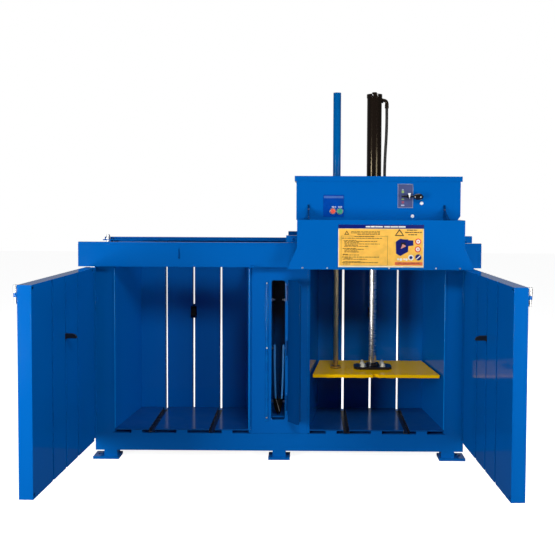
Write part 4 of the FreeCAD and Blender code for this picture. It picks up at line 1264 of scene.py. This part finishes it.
# ------------------------------------------------------------------ controls
def in_metres(profile: Iterable[Pair]) -> list[Pair]:
    """Turns pairs of millimetres into metres."""
    return [(first * MM, second * MM) for first, second in profile]


def front_outline(corners: Iterable[Pair]) -> list[Pair]:
    """Turns pairs of the machine's X and Z into the frame's."""
    return [(corner.x, corner.z) for corner in (Datum.at(x, 0, z) for x, z in corners)]


def print_field(ink: Piece, edges: Quad, back: float, proud: float, corner: float, which: int) -> None:
    """Prints an upright field on a plate that faces -Y.

    Args:
        ink: The piece that takes the field.
        edges: Its left, right, lower and upper edge in the machine's millimetres.
        back: Y of the plate's face in the frame.
        proud: How far the ink stands out.
        corner: Radius of its corners.
        which: Number of the ink.
    """
    left, right, bottom, top = edges
    low, high = Datum.at(left, 0, bottom), Datum.at(right, 0, top)
    low.y, high.y = back - proud, back
    ink.slab(low, high, corner, which)


@dataclass
class ButtonPanel(Assembly):
    """Print and bezels of the button panel, and the cores of its two push-buttons."""

    stripe: Quad = (201.0, 289.0, 1069.6, 1079.7)
    legends: Pairs = ((236.7, 247.5), (249.3, 255.9), (265.9, 273.0), (275.0, 283.8))
    legend_z: Pair = (1026.2, 1033.0)
    ink_proud: float = 0.25
    ink_corner: float = 0.6
    button_z: float = 1010.0
    buttons: tuple[tuple[Body, float], ...] = ((Body.STOP_BUTTON, 242.0), (Body.START_BUTTON, 274.0))
    bezel: Pairs = ((0.0, 12.5), (0.0, 15.4), (2.2, 15.2), (3.6, 14.2), (4.0, 13.2), (3.6, 12.5))
    face_y: float = -14.0
    core: Pairs = ((-0.2, 8.6), (0.35, 8.5), (0.55, 7.6), (0.30, 6.4), (0.25, 0.4))

    def build(self) -> None:
        """Builds the print, the bezels and the cores."""
        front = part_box("button_panel")[0].y
        ink = Piece("button_panel_print", Body.FRAME, Finishes.INK_LILAC, [Finishes.INK_PALE])
        fields = [(self.stripe, 0)] + [((*legend, *self.legend_z), 1) for legend in self.legends]
        for edges, which in fields:
            print_field(ink, edges, front, self.ink_proud * MM, self.ink_corner * MM, which)
        ink.done()
        rings = Piece("button_bezels", Body.FRAME, Finishes.ZINC)
        for _, x in self.buttons:
            seat = Datum.at(x, 0, self.button_z)
            seat.y = front
            rings.turned(seat, FORWARD, in_metres(self.bezel), sides=40, joined=True)
        rings.done()
        for (body, x), finish in zip(self.buttons, (Finishes.RED_CORE, Finishes.GREEN_CORE)):
            core = Piece(body.value + "_core", body, finish)
            core.turned(Datum.at(x, self.face_y, self.button_z), FORWARD, in_metres(self.core), sides=36)
            core.done()


@dataclass
class LeverPlate(Assembly):
    """Print of the lever's plate, the lever's pointer and the two round hole plugs."""

    border: float = 1.3
    ink_proud: float = 0.25
    ink_corner: float = 0.8
    marks: tuple[tuple[Quad, int], ...] = (
        ((555.5, 566.0, 1094.5, 1105.6), 0), ((555.5, 567.0, 1047.2, 1057.6), 1),
        ((553.0, 568.0, 1035.4, 1041.8), 2), ((555.0, 567.0, 1063.5, 1069.0), 0),
        ((557.0, 564.0, 1107.0, 1112.0), 2))
    pointer: Pairs = ((579.5, 1094.0), (594.0, 1094.0), (590.5, 1083.0), (587.5, 1068.0), (583.5, 1083.0))
    pointer_y: Pair = (-30.0, -32.6)
    pointer_bevel: float = 0.4
    plugs: Pairs = ((647.0, 1048.0), (606.0, 989.0))
    plug: Pairs = ((0.0, 8.2), (1.1, 8.0), (1.6, 7.0), (1.9, 6.2), (2.6, 5.6), (3.0, 4.0), (3.1, 0.5))

    def _print(self) -> None:
        """Prints the plate's border and its marks."""
        low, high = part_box("lever_plate")
        proud, rim = self.ink_proud * MM, self.border * MM
        ink = Piece("lever_plate_print", Body.FRAME, Finishes.INK_LIME,
                    [Finishes.INK_SIGNAL, Finishes.INK_PALE])
        for x0, x1, z0, z1 in ((low.x, high.x, high.z - rim, high.z), (low.x, high.x, low.z, low.z + rim),
                               (low.x, low.x + rim, low.z + rim, high.z - rim),
                               (high.x - rim, high.x, low.z + rim, high.z - rim)):
            ink.slab(Vector((x0, low.y - proud, z0)), Vector((x1, low.y, z1)), 0.0, 2)
        for edges, which in self.marks:
            print_field(ink, edges, low.y, proud, self.ink_corner * MM, which)
        ink.done()

    def build(self) -> None:
        """Builds print, pointer and plugs."""
        self._print()
        pointer = Piece("lever_pointer", Body.CONTROL_LEVER, Finishes.WHITE_PLASTIC)
        back, front = (Datum.at(0, y, 0).y for y in self.pointer_y)
        pointer.plate(front_outline(self.pointer), front, back)
        pointer.done(bevel=self.pointer_bevel * MM)
        plugs = Piece("hole_plug_caps", Body.FRAME, Finishes.WHITE_PLASTIC)
        for x, z in self.plugs:
            plugs.turned(Datum.at(x, 0, z), FORWARD, in_metres(self.plug), sides=32)
        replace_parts(plugs.done(), "hole_plugs")


# ------------------------------------------------------------------ screws, studs and bolts
@dataclass
class Screws(Assembly):
    """Slotted screws along the hood's lower edge and in the cylinder's cap."""

    hood_xs: Numbers = (105.0, 214.0, 486.0, 693.0, 799.0)
    hood_y: float = -134.0
    hood_z: float = 762.0
    radius: float = 3.8
    height: float = 2.2
    first_turn: float = 0.4
    next_turn: float = 1.1
    cap_xs: Numbers = (-11.0, 12.0)
    cap_z: float = 1559.0
    cap_radius: float = 37.0
    cap_sunk: float = 1.0
    cap_screw: Pairs = ((0.0, 4.4), (1.6, 4.4), (1.6, 3.6), (3.4, 3.6), (4.0, 3.0), (4.0, 1.8), (2.6, 1.6),
                        (2.6, 0.3))
    ram: Pair = (445.0, 190.0)

    def build(self) -> None:
        """Builds the screws."""
        heads = Piece("hood_and_cap_screws", Body.FRAME, Finishes.ZINC)
        for k, x in enumerate(self.hood_xs):
            heads.slotted_head(Datum.at(x, self.hood_y, self.hood_z), FORWARD, self.radius * MM,
                               self.height * MM, self.first_turn + self.next_turn * k)
        ram_x, ram_y = self.ram
        for dx in self.cap_xs:
            y = ram_y - math.sqrt(self.cap_radius ** 2 - dx ** 2) + self.cap_sunk
            heads.turned(Datum.at(ram_x + dx, y, self.cap_z), FORWARD, in_metres(self.cap_screw), sides=24)
        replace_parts(heads.done(), "head_screws")


@dataclass
class PocketBolts(Assembly):
    """Bolts on the side walls of the tool pocket and slotted screws on its lip."""

    walls: Pairs = ((-37.0, 1.0), (26.0, -1.0))
    side_zs: Numbers = (595.0, 369.0, 116.0)
    side_y: float = 60.0
    washer: Pairs = ((0.0, 8.2), (1.2, 8.2), (1.5, 7.8))
    nut: Pairs = ((1.5, 6.6), (6.4, 6.6), (7.2, 5.8))
    end: Pairs = ((7.2, 3.9), (12.6, 3.9), (13.6, 3.0), (14.0, 1.0))
    first_turn: float = 0.2
    next_turn: float = 0.5
    lip: Pair = (-58.0, -6.0)
    lip_zs: Numbers = (679.0, 380.0, 56.0)
    lip_head: Pair = (3.8, 2.5)

    def build(self) -> None:
        """Builds the bolts and screws."""
        bolts = Piece("pocket_fasteners", Body.FRAME, Finishes.ZINC)
        for wall, sign in self.walls:
            for k, z in enumerate(self.side_zs):
                seat, axis = Datum.at(wall, self.side_y, z), Vector((sign, 0, 0))
                bolts.turned(seat, axis, in_metres(self.washer), sides=24)
                bolts.turned(seat, axis, in_metres(self.nut), sides=6,
                             phase=self.first_turn + self.next_turn * k)
                bolts.turned(seat, axis, in_metres(self.end), sides=18)
        radius, height = self.lip_head
        for k, z in enumerate(self.lip_zs):
            bolts.slotted_head(Datum.at(*self.lip, z), FORWARD, radius * MM, height * MM, self.next_turn + k)
        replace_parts(bolts.done(), "pocket_bolts")


@dataclass
class FlangeStuds(Assembly):
    """Threaded studs with washers and chamfered nuts at the rod flange's corners."""

    ram: Pair = (445.0, 190.0)
    reach: Pair = (48.0, 28.0)
    seat_z: float = 260.0
    washer: Pairs = ((0.0, 12.5), (2.2, 12.5), (2.5, 12.0))
    nut: Pairs = ((2.5, 9.9), (3.2, 10.5), (12.2, 10.5), (13.0, 9.4))
    thread_z: Pair = (13.0, 20.2)
    thread: Pair = (5.5, 4.8)
    pitch: float = 1.2
    foot: float = 0.5
    point: Pair = (0.8, 0.7)
    first_turn: float = 0.3
    next_turn: float = 0.7

    def build(self) -> None:
        """Builds the studs."""
        studs = Piece("flange_studs", Body.RAM, Finishes.FLAKE)
        low, high = self.thread_z
        crest, root = self.thread
        steps = int((high - low) / (self.pitch / 2))
        thread = [(low - self.foot, crest)]
        thread += [(low + k * self.pitch / 2, self.thread[k % 2]) for k in range(steps + 1)]
        thread += [(high + self.point[0], root - self.point[1])]
        for k, (sx, sy) in enumerate(((-1, -1), (1, -1), (-1, 1), (1, 1))):
            seat = Datum.at(self.ram[0] + sx * self.reach[0], self.ram[1] + sy * self.reach[1], self.seat_z)
            studs.turned(seat, UP, in_metres(self.washer), sides=32)
            studs.turned(seat, UP, in_metres(self.nut), sides=6, phase=self.first_turn + self.next_turn * k)
            studs.turned(seat, UP, in_metres(thread), sides=24)
        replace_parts(studs.done(), "flange_bolts")


# ------------------------------------------------------------------ strap cutter in the pocket
@dataclass
class StrapCutter(Assembly):
    """The strap cutter that stands in the pocket: two rounded grips, two blades and a pivot screw."""

    grips: Pairs = ((-24.0, -18.0), (19.0, 11.0))
    grip_z: Pair = (390.0, 136.0)
    grip_y: float = 33.0
    grip_radius: float = 5.6
    grip_bow: float = 1.5
    grip_steps: int = 64
    grip_taper: float = 0.22
    tip_share: float = 1.0 / 40.0
    tip_size: float = 0.15
    ridges: Pair = (0.55, 0.9)
    ridge_size: float = 0.07
    left_blade: Pairs = (
        (-25, 150), (-10, 150), (-7, 138), (-2, 120), (-3, 84), (-6, 58), (-14, 72), (-22, 86), (-29, 118))
    right_blade: Pairs = (
        (17, 150), (5, 150), (0, 138), (-8, 124), (-4, 92), (1, 58), (4, 66), (6, 78), (14, 116))
    cutting_edge: Pairs = ((-19.6, 144), (-18.2, 144), (1.0, 80), (1.8, 76), (0.2, 74), (-0.6, 78))
    edge_thickness: float = 0.5
    blade_ys: Point = (29.8, 33.0, 36.2)
    blade_bevel: float = 0.35
    pivot: Pair = (-4.0, 126.0)
    pivot_washer: Pairs = ((0.2, 8.4), (1.1, 8.4), (1.4, 8.0))
    pivot_head: Pair = (6.0, 2.6)
    pivot_turn: float = 0.9

    def _swell(self, share: float) -> float:
        """Gives a grip's thickness at a place on its length.

        Args:
            share: Share of the grip's length from its upper end.

        Returns:
            The factor on its radius.
        """
        tip = math.sqrt(max(0.0, 1.0 - max(0.0, 1.0 - share / self.tip_share) ** 2))
        start, stop = self.ridges
        wave = math.cos(share * self.grip_steps * math.pi / 2)
        ridge = self.ridge_size * wave if start < share < stop else 0.0
        return max(self.tip_size, tip) * (1.0 - self.grip_taper * share + ridge)

    def _grip(self, piece: Piece, top: float, low: float) -> None:
        """Adds one grip with round ends and a row of finger ridges.

        Args:
            piece: The piece that takes the grip.
            top: X of its upper end.
            low: X of its lower end.
        """
        z1, z0 = self.grip_z
        points = []
        for k in range(self.grip_steps + 1):
            share = k / self.grip_steps
            bow = self.grip_bow * math.sin(math.pi * share) * (-1 if top < 0 else 1)
            points.append(Datum.at(top + (low - top) * share + bow, self.grip_y, z1 + (z0 - z1) * share))
        piece.tube(points, self.grip_radius * MM, sides=18, swell=self._swell)

    @staticmethod
    def _blade(piece: Piece, outline: Pairs, y0: float, y1: float, which: int) -> None:
        """Adds one blade between two depths."""
        piece.plate(front_outline(outline), Datum.at(0, y0, 0).y, Datum.at(0, y1, 0).y, which)

    def build(self) -> None:
        """Builds grips, blades, cutting edge and pivot screw."""
        grips = Piece("cutter_grips", Body.FRAME, Finishes.PALE_BLUE)
        for top, low in self.grips:
            self._grip(grips, top, low)
        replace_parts(grips.done(smooth_angle=50.0), "cutter_handles")
        front, middle, rear = self.blade_ys
        jaws = Piece("cutter_jaws", Body.FRAME, Finishes.BLADE, [Finishes.BRIGHT])
        self._blade(jaws, self.left_blade, middle, rear, 0)
        self._blade(jaws, self.right_blade, front, middle, 0)
        self._blade(jaws, self.cutting_edge, front - self.edge_thickness, front, 1)
        x, z = self.pivot
        seat = self.pivot_washer[-1][0]
        radius, height = self.pivot_head
        jaws.turned(Datum.at(x, front, z), FORWARD, in_metres(self.pivot_washer), sides=28)
        jaws.slotted_head(Datum.at(x, front - seat, z), FORWARD, radius * MM, height * MM, self.pivot_turn)
        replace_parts(jaws.done(bevel=self.blade_bevel * MM), "cutter_blades")


# ------------------------------------------------------------------ press head fittings
@dataclass
class HoseEnd(Assembly):
    """Crimp rings on the hose's ferrule and the hexagon of its boss."""

    x: float = 504.0
    y: float = 190.0
    ring_zs: Numbers = (1503.5, 1507.0, 1510.5, 1514.0, 1517.5)
    ring: Pairs = ((-0.9, 8.7), (-0.9, 9.5), (-0.4, 9.9), (0.4, 9.9), (0.9, 9.5), (0.9, 8.7))
    boss: Pair = (480.0, 1537.0)
    hexagon: Pairs = ((0.5, 11.0), (1.2, 11.7), (6.2, 11.7), (7.0, 11.0))
    hexagon_turn: float = 0.26

    def build(self) -> None:
        """Builds the rings and the hexagon."""
        rings = Piece("hose_crimp_rings", Body.FRAME, Finishes.BLACK)
        for z in self.ring_zs:
            rings.turned(Datum.at(self.x, self.y, z), UP, in_metres(self.ring), sides=28, joined=True)
        boss_x, boss_z = self.boss
        rings.turned(Datum.at(boss_x, self.y, boss_z), Vector((1, 0, 0)), in_metres(self.hexagon), sides=6,
                     phase=self.hexagon_turn)
        rings.done()


@dataclass
class RollerAxles(Assembly):
    """Nuts on the outer ends of the four roller axles."""

    middle: float = 450.0
    reach: float = 392.0
    z: float = 880.7
    ends: Pairs = ((-43.0, -1.0), (448.0, 1.0))
    nut: Pairs = ((0.0, 8.4), (0.8, 8.4), (0.8, 7.6), (1.4, 8.2), (5.0, 8.2), (5.8, 7.4))
    end: Pairs = ((5.0, 4.4), (7.4, 4.4), (8.0, 3.6))
    nut_turn: float = 0.35

    def build(self) -> None:
        """Builds the nuts."""
        nuts = Piece("roller_axle_nuts", Body.FRAME, Finishes.BLUE)
        for y, sign in self.ends:
            for side in (-1, 1):
                seat, axis = Datum.at(self.middle + side * self.reach, y, self.z), Vector((0, sign, 0))
                nuts.turned(seat, axis, in_metres(self.nut), sides=6, phase=self.nut_turn)
                nuts.turned(seat, axis, in_metres(self.end), sides=20)
        nuts.done()


@dataclass
class Gussets(Assembly):
    """Scalloped fins between the hood's ledge and the front of the control housing, in a dark blue that
    paints the shade around them, with the usual blue on their edges as a painted highlight.
    """

    xs: Numbers = (131.0, 751.0)
    thickness: float = 9.0
    top_z: float = 1040.0
    foot_z: float = 974.0
    top_reach: float = -5.0
    toe_reach: float = -118.0
    toe_height: float = 5.0
    scallop: float = 2.0
    fall: float = 1.15
    steps: int = 22
    bevel: float = 0.5

    def _profile(self) -> list[Pair]:
        """Gives the fin's outline, with a hollow curve from its top down to its toe.

        Returns:
            The corners in Y and Z.
        """
        points = [(0.0, self.foot_z), (0.0, self.top_z), (self.top_reach, self.top_z)]
        tall = self.top_z - self.foot_z - self.toe_height
        for k in range(1, self.steps):
            share = k / self.steps
            y = self.top_reach + (self.toe_reach - self.top_reach) * share ** self.scallop
            points.append((y, self.foot_z + self.toe_height + tall * (1.0 - share) ** self.fall))
        return points + [(self.toe_reach, self.foot_z + self.toe_height), (self.toe_reach, self.foot_z)]

    def build(self) -> None:
        """Builds both fins."""
        fins = Piece("scalloped_gussets", Body.FRAME, Finishes.FIN_PAINTED_SHADE)
        outline = self._profile()
        for x in self.xs:
            sides = (x - self.thickness / 2, x + self.thickness / 2)
            fins.loft([[Datum.at(side, y, z) for y, z in outline] for side in sides])
        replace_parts(fins.done(bevel=self.bevel * MM), "gussets")


@dataclass
class SheetBendHighlights(Assembly):
    """Rounded bends along the front edges of the column and the pillars, in a lighter blue than the paint: a
    painted highlight along each bend.
    """

    radius: float = 2.2
    lines: Quads = ((-139.5, -11.1, 2.0, 746.0), (-759.5, 0.9, 2.0, 746.0), (759.5, 0.9, 2.0, 724.0))

    def build(self) -> None:
        """Builds the three bends."""
        bends = Piece("sheet_bend_highlights", Body.FRAME, Finishes.BEND_HIGHLIGHT)
        for x, y, low, high in self.lines:
            bends.tube([Datum.at(x, y, z) for z in (low, high)], self.radius * MM, sides=12)
        bends.done()


@dataclass
class DogGuards(Assembly):
    """Cover plates behind the windows that the retaining dogs look through."""

    xs: Pair = (-450.0, 450.0)
    half_width: float = 19.0
    z: Pair = (452.0, 525.0)
    y: Pair = (415.1, 417.1)
    corner: float = 4.0
    bevel: float = 0.3

    def build(self) -> None:
        """Builds both plates."""
        guards = Piece("dog_guards", Body.FRAME, Finishes.BLUE)
        for x in self.xs:
            guards.slab(Datum.at(x - self.half_width, self.y[0], self.z[0]),
                        Datum.at(x + self.half_width, self.y[1], self.z[1]), self.corner * MM)
        guards.done(bevel=self.bevel * MM)


# ------------------------------------------------------------------ welds
WELD_SMOOTHING = 50.0


@dataclass
class FrameWelds(Assembly):
    """Weld beads of the machine's body and press head."""

    gusset_xs: Numbers = (131.0, 751.0)
    gusset_half: float = 3.0
    ledge_z: float = 974.4
    ledge_ys: Pair = (-116.0, -1.0)
    upright_y: float = -0.5
    gusset_top: float = 1038.0
    size: float = 1.6
    rail_y: float = -0.6
    under_rail: float = 1.0
    seam_length: float = 100.0
    cap: Point = (445.0, 190.0, 1550.0)
    cap_radius: float = 35.6
    cap_size: float = 1.4

    def _lines(self) -> list[tuple[Vector, Vector]]:
        """Gives the straight seams.

        Returns:
            Start and end of each seam.
        """
        lines = []
        toe_y, root_y = self.ledge_ys
        for x in self.gusset_xs:
            for side in (x - self.gusset_half, x + self.gusset_half):
                lines.append((Datum.at(side, toe_y, self.ledge_z), Datum.at(side, root_y, self.ledge_z)))
                lines.append((Datum.at(side, self.upright_y, self.ledge_z),
                              Datum.at(side, self.upright_y, self.gusset_top)))
        left, right = (corner.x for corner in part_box("pillars"))
        y = Datum.at(0, self.rail_y, 0).y
        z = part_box("front_rail")[0].z - self.under_rail * MM
        reach = self.seam_length * MM
        for x0, x1 in ((left, left + reach), (right - reach, right), (-reach, reach)):
            lines.append((Vector((x0, y, z)), Vector((x1, y, z))))
        return lines

    def build(self) -> None:
        """Builds the beads."""
        seams = Piece("frame_welds", Body.FRAME, Finishes.BLUE)
        for start, stop in self._lines():
            seams.bead(start, stop, self.size * MM)
        seams.done(WELD_SMOOTHING)
        ring = Piece("cylinder_cap_weld", Body.FRAME, Finishes.BLACK)
        ring.ring_bead(Datum.at(*self.cap), UP, self.cap_radius * MM, self.cap_size * MM)
        ring.done(WELD_SMOOTHING)


@dataclass
class RamWelds(Assembly):
    """Weld beads around the rod's socket and the guide rod's foot."""

    rings: tuple[Point, ...] = (
        (445.0, 260.0, 30.8), (445.0, 274.0, 18.6), (266.5, 258.0, 12.7), (266.5, 248.0, 24.6))
    y: float = 190.0
    size: float = 1.6

    def build(self) -> None:
        """Builds the beads."""
        seams = Piece("ram_welds", Body.RAM, Finishes.FLANGE)
        for x, z, radius in self.rings:
            seams.ring_bead(Datum.at(x, self.y, z), UP, radius * MM, self.size * MM)
        seams.done(WELD_SMOOTHING)


# ------------------------------------------------------------------ doors
@dataclass
class DoorFittings(Assembly):
    """Weld beads on a door's outer side and the bright pipe that lines its latch tube.

    Places are those of the closed door: t from the hinge along the door, Y and Z of the machine.
    """

    left: bool
    hinge: Pair = (-855.0, -30.0)
    open_angle: float = 92.9
    skin_y: float = -55.0
    handle_t: float = 560.0
    handle_zs: Numbers = (345.0, 505.0)
    post_radius: float = 7.4
    post_bead: float = 1.7
    latch_t: float = 733.0
    latch_y: float = -61.5
    seam_y: float = -55.4
    seam_zs: Pair = (710.0, 749.0)
    seam_reach: float = 6.4
    seam_bead: float = 1.8
    pipe: Pairs = ((0.0, 9.1), (0.0, 9.8), (28.0, 9.8), (28.0, 9.1))
    pipe_low: float = 723.0

    def _turn(self, x: float, y: float) -> Pair:
        """Turns a direction with the door and mirrors it for the right door.

        Args:
            x: Its part along the closed door, away from the hinge.
            y: Its part across the closed door, to the rear.

        Returns:
            Its X and Y on the open door.
        """
        angle = -math.radians(self.open_angle)
        turned_x = x * math.cos(angle) - y * math.sin(angle)
        turned_y = x * math.sin(angle) + y * math.cos(angle)
        return (turned_x if self.left else -turned_x), turned_y

    def _at(self, t: float, y: float, z: float) -> Vector:
        """Gives a point of the open door.

        Args:
            t: Distance from the hinge along the closed door.
            y: Depth in the closed door.
            z: Height.

        Returns:
            The point in the frame.
        """
        dx, dy = self._turn(t, y - self.hinge[1])
        x = self.hinge[0] if self.left else -self.hinge[0]
        return Datum.at(x + dx, self.hinge[1] + dy, z)

    def build(self) -> None:
        """Builds the beads and the pipe."""
        side = "left" if self.left else "right"
        body = Body.LEFT_DOOR if self.left else Body.RIGHT_DOOR
        seams = Piece(side + "_door_welds", body, Finishes.BLUE)
        outward = Vector((*self._turn(0.0, -1.0), 0.0))
        for z in self.handle_zs:
            seams.ring_bead(self._at(self.handle_t, self.skin_y, z), outward, self.post_radius * MM,
                            self.post_bead * MM)
        for t in (self.latch_t - self.seam_reach, self.latch_t + self.seam_reach):
            low, high = (self._at(t, self.seam_y, z) for z in self.seam_zs)
            seams.bead(low, high, self.seam_bead * MM)
        seams.done(WELD_SMOOTHING)
        pipe = Piece(side + "_latch_pipe", body, Finishes.ZINC)
        seat = self._at(self.latch_t, self.latch_y, self.pipe_low)
        pipe.turned(seat, UP, in_metres(self.pipe), sides=32, joined=True)
        pipe.done()


# ------------------------------------------------------------------ light, floor and camera
@dataclass(frozen=True)
class SoftLight:
    """One studio soft box."""

    name: str
    place: Point
    size: Pair
    power: float
    colour: Colour = (1.0, 1.0, 1.0)
    mirrored: bool = True

    def build(self, aim: Vector) -> None:
        """Hangs the soft box and turns it to a point.

        Args:
            aim: The point that it faces.
        """
        lamp = bpy.data.lights.new(self.name, "AREA")
        lamp.shape = "RECTANGLE"
        lamp.size, lamp.size_y = self.size
        lamp.energy = self.power
        lamp.color = self.colour
        holder = bpy.data.objects.new(self.name, lamp)
        holder.location = self.place
        holder.rotation_mode = "QUATERNION"
        holder.rotation_quaternion = (aim - Vector(self.place)).to_track_quat("-Z", "Y")
        holder.visible_glossy = self.mirrored
        bpy.context.scene.collection.objects.link(holder)


@dataclass
class Studio(Assembly):
    """Plain pale floor, white surroundings and soft boxes."""

    aim: Point = (0.0, 0.0, 0.75)
    lights: tuple[SoftLight, ...] = (
        SoftLight("key light", (-2.1, -2.05, 0.83), (0.7, 1.5), 56.0),
        SoftLight("fill light", (2.2, -2.1, 0.83), (1.0, 1.5), 35.0),
        SoftLight("front light", (0.6, -2.6, 2.75), (1.2, 0.7), 50.0, mirrored=False),
        SoftLight("top light", (0.0, 0.45, 3.2), (2.8, 1.0), 16.0),
        SoftLight("back light", (0.6, 3.6, 1.9), (2.6, 1.4), 60.0, mirrored=False),
    )
    seen_colour: Colour = (1.0, 1.0, 1.0)
    lit_colour: Colour = (0.96, 0.98, 1.0)
    dim: float = 0.025
    bright: float = 0.30
    bright_from: Pair = (0.35, 0.75)
    floor_half: float = 14.0
    paper: Colour = (0.9, 0.9, 0.9)
    paper_glow: float = 0.90
    paper_as_light: Colour = (0.05, 0.05, 0.05)
    mirrored_colour: Colour = (1.0, 0.98, 0.95)
    mirrored_glow: float = 0.05

    def _world(self) -> None:
        """Makes the surroundings: white to the eye, and as light bright behind the machine only."""
        world = bpy.data.worlds.new("studio")
        bpy.context.scene.world = world
        world.use_nodes = True
        world.node_tree.nodes.clear()
        tree = Tree(world.node_tree)
        toward = tree.add("SeparateXYZ", Vector=tree.add("TexCoord").outputs["Generated"]).outputs["Y"]
        strength = tree.stretch(toward, *self.bright_from, self.dim, self.bright)
        lit = tree.add("Background", Color=(*self.lit_colour, 1.0), Strength=strength)
        seen = tree.add("Background", Color=(*self.seen_colour, 1.0), Strength=1.0)
        by_eye = tree.add("LightPath").outputs["Is Camera Ray"]
        tree.add("OutputWorld", Surface=tree.either(by_eye, lit.outputs[0], seen.outputs[0]))

    def _paper(self) -> bpy.types.Material:
        """Makes the floor's paper: white to the eye, and dim in what it lights and mirrors.

        Returns:
            The floor's material.
        """
        paper = bpy.data.materials.new("floor paper")
        paper.use_nodes = True
        paper.node_tree.nodes.clear()
        tree = Tree(paper.node_tree)
        path = tree.add("LightPath").outputs
        pale = tree.add("AddShader")
        tree.feed(pale, 0, tree.add("BsdfDiffuse", Color=(*self.paper, 1.0)).outputs[0])
        tree.feed(pale, 1, tree.add("Emission", Color=(*self.seen_colour, 1.0),
                                    Strength=self.paper_glow).outputs[0])
        as_light = tree.add("BsdfDiffuse", Color=(*self.paper_as_light, 1.0))
        mirrored = tree.add("Emission", Color=(*self.mirrored_colour, 1.0), Strength=self.mirrored_glow)
        unseen = tree.either(path["Is Glossy Ray"], as_light.outputs[0], mirrored.outputs[0])
        tree.add("OutputMaterial", Surface=tree.either(path["Is Camera Ray"], unseen, pale.outputs[0]))
        return paper

    def _floor(self) -> None:
        """Lays the pale floor, which takes the machine's soft shadow."""
        data = bpy.data.meshes.new("studio_floor")
        shape = bmesh.new()
        corners = ((-1, -1), (1, -1), (1, 1), (-1, 1))
        shape.faces.new([shape.verts.new((x * self.floor_half, y * self.floor_half, 0)) for x, y in corners])
        shape.to_mesh(data)
        shape.free()
        data.materials.append(self._paper())
        floor = bpy.data.objects.new("studio_floor", data)
        bpy.context.scene.collection.objects.link(floor)

    def build(self) -> None:
        """Builds the studio."""
        self._world()
        self._floor()
        for light in self.lights:
            light.build(Vector(self.aim))
        view = bpy.context.scene.view_settings
        view.view_transform = "Standard"
        view.look = "None"


@dataclass
class PhotoCamera(Assembly):
    """The camera at the photograph's place; the photograph is 555 pixels square."""

    place: Point = (0.1189, -3.3374, 1.2037)
    focal_px: float = 764.3
    image_px: float = 555.0
    centre_px: Pair = (302.1, 228.8)
    yaw: float = 0.0049
    pitch: float = 0.0385
    roll: float = 0.0047
    sensor: float = 36.0

    def build(self) -> None:
        """Sets up the camera."""
        data = bpy.data.cameras.new("photo camera")
        data.sensor_width = self.sensor
        data.lens = self.sensor * self.focal_px / self.image_px
        data.shift_x = (self.image_px / 2 - self.centre_px[0]) / self.image_px
        data.shift_y = (self.centre_px[1] - self.image_px / 2) / self.image_px
        camera = bpy.data.objects.new("photo camera", data)
        turn = (Matrix.Rotation(self.yaw, 4, "Z") @ Matrix.Rotation(math.pi / 2 - self.pitch, 4, "X")
                @ Matrix.Rotation(self.roll, 4, "Z"))
        camera.matrix_world = Matrix.Translation(self.place) @ turn
        bpy.context.scene.collection.objects.link(camera)
        bpy.context.scene.camera = camera


# ------------------------------------------------------------------ the whole machine
def main() -> None:
    """Builds every sub-assembly in order."""
    logging.basicConfig(level=logging.INFO, format="%(name)s: %(message)s")
    parts = (
        PhotoCamera(), Studio(), CarriedNodes(), InstructionLabel(), ButtonPanel(), LeverPlate(), Screws(),
        PocketBolts(), StrapCutter(), FlangeStuds(), HoseEnd(), RollerAxles(), Gussets(), SheetBendHighlights(),
        DogGuards(), FrameWelds(), RamWelds(), DoorFittings(left=True), DoorFittings(left=False))
    for part in parts:
        LOG.info("building %s", type(part).__name__)
        part.build()


if __name__ == "__main__":
    main()
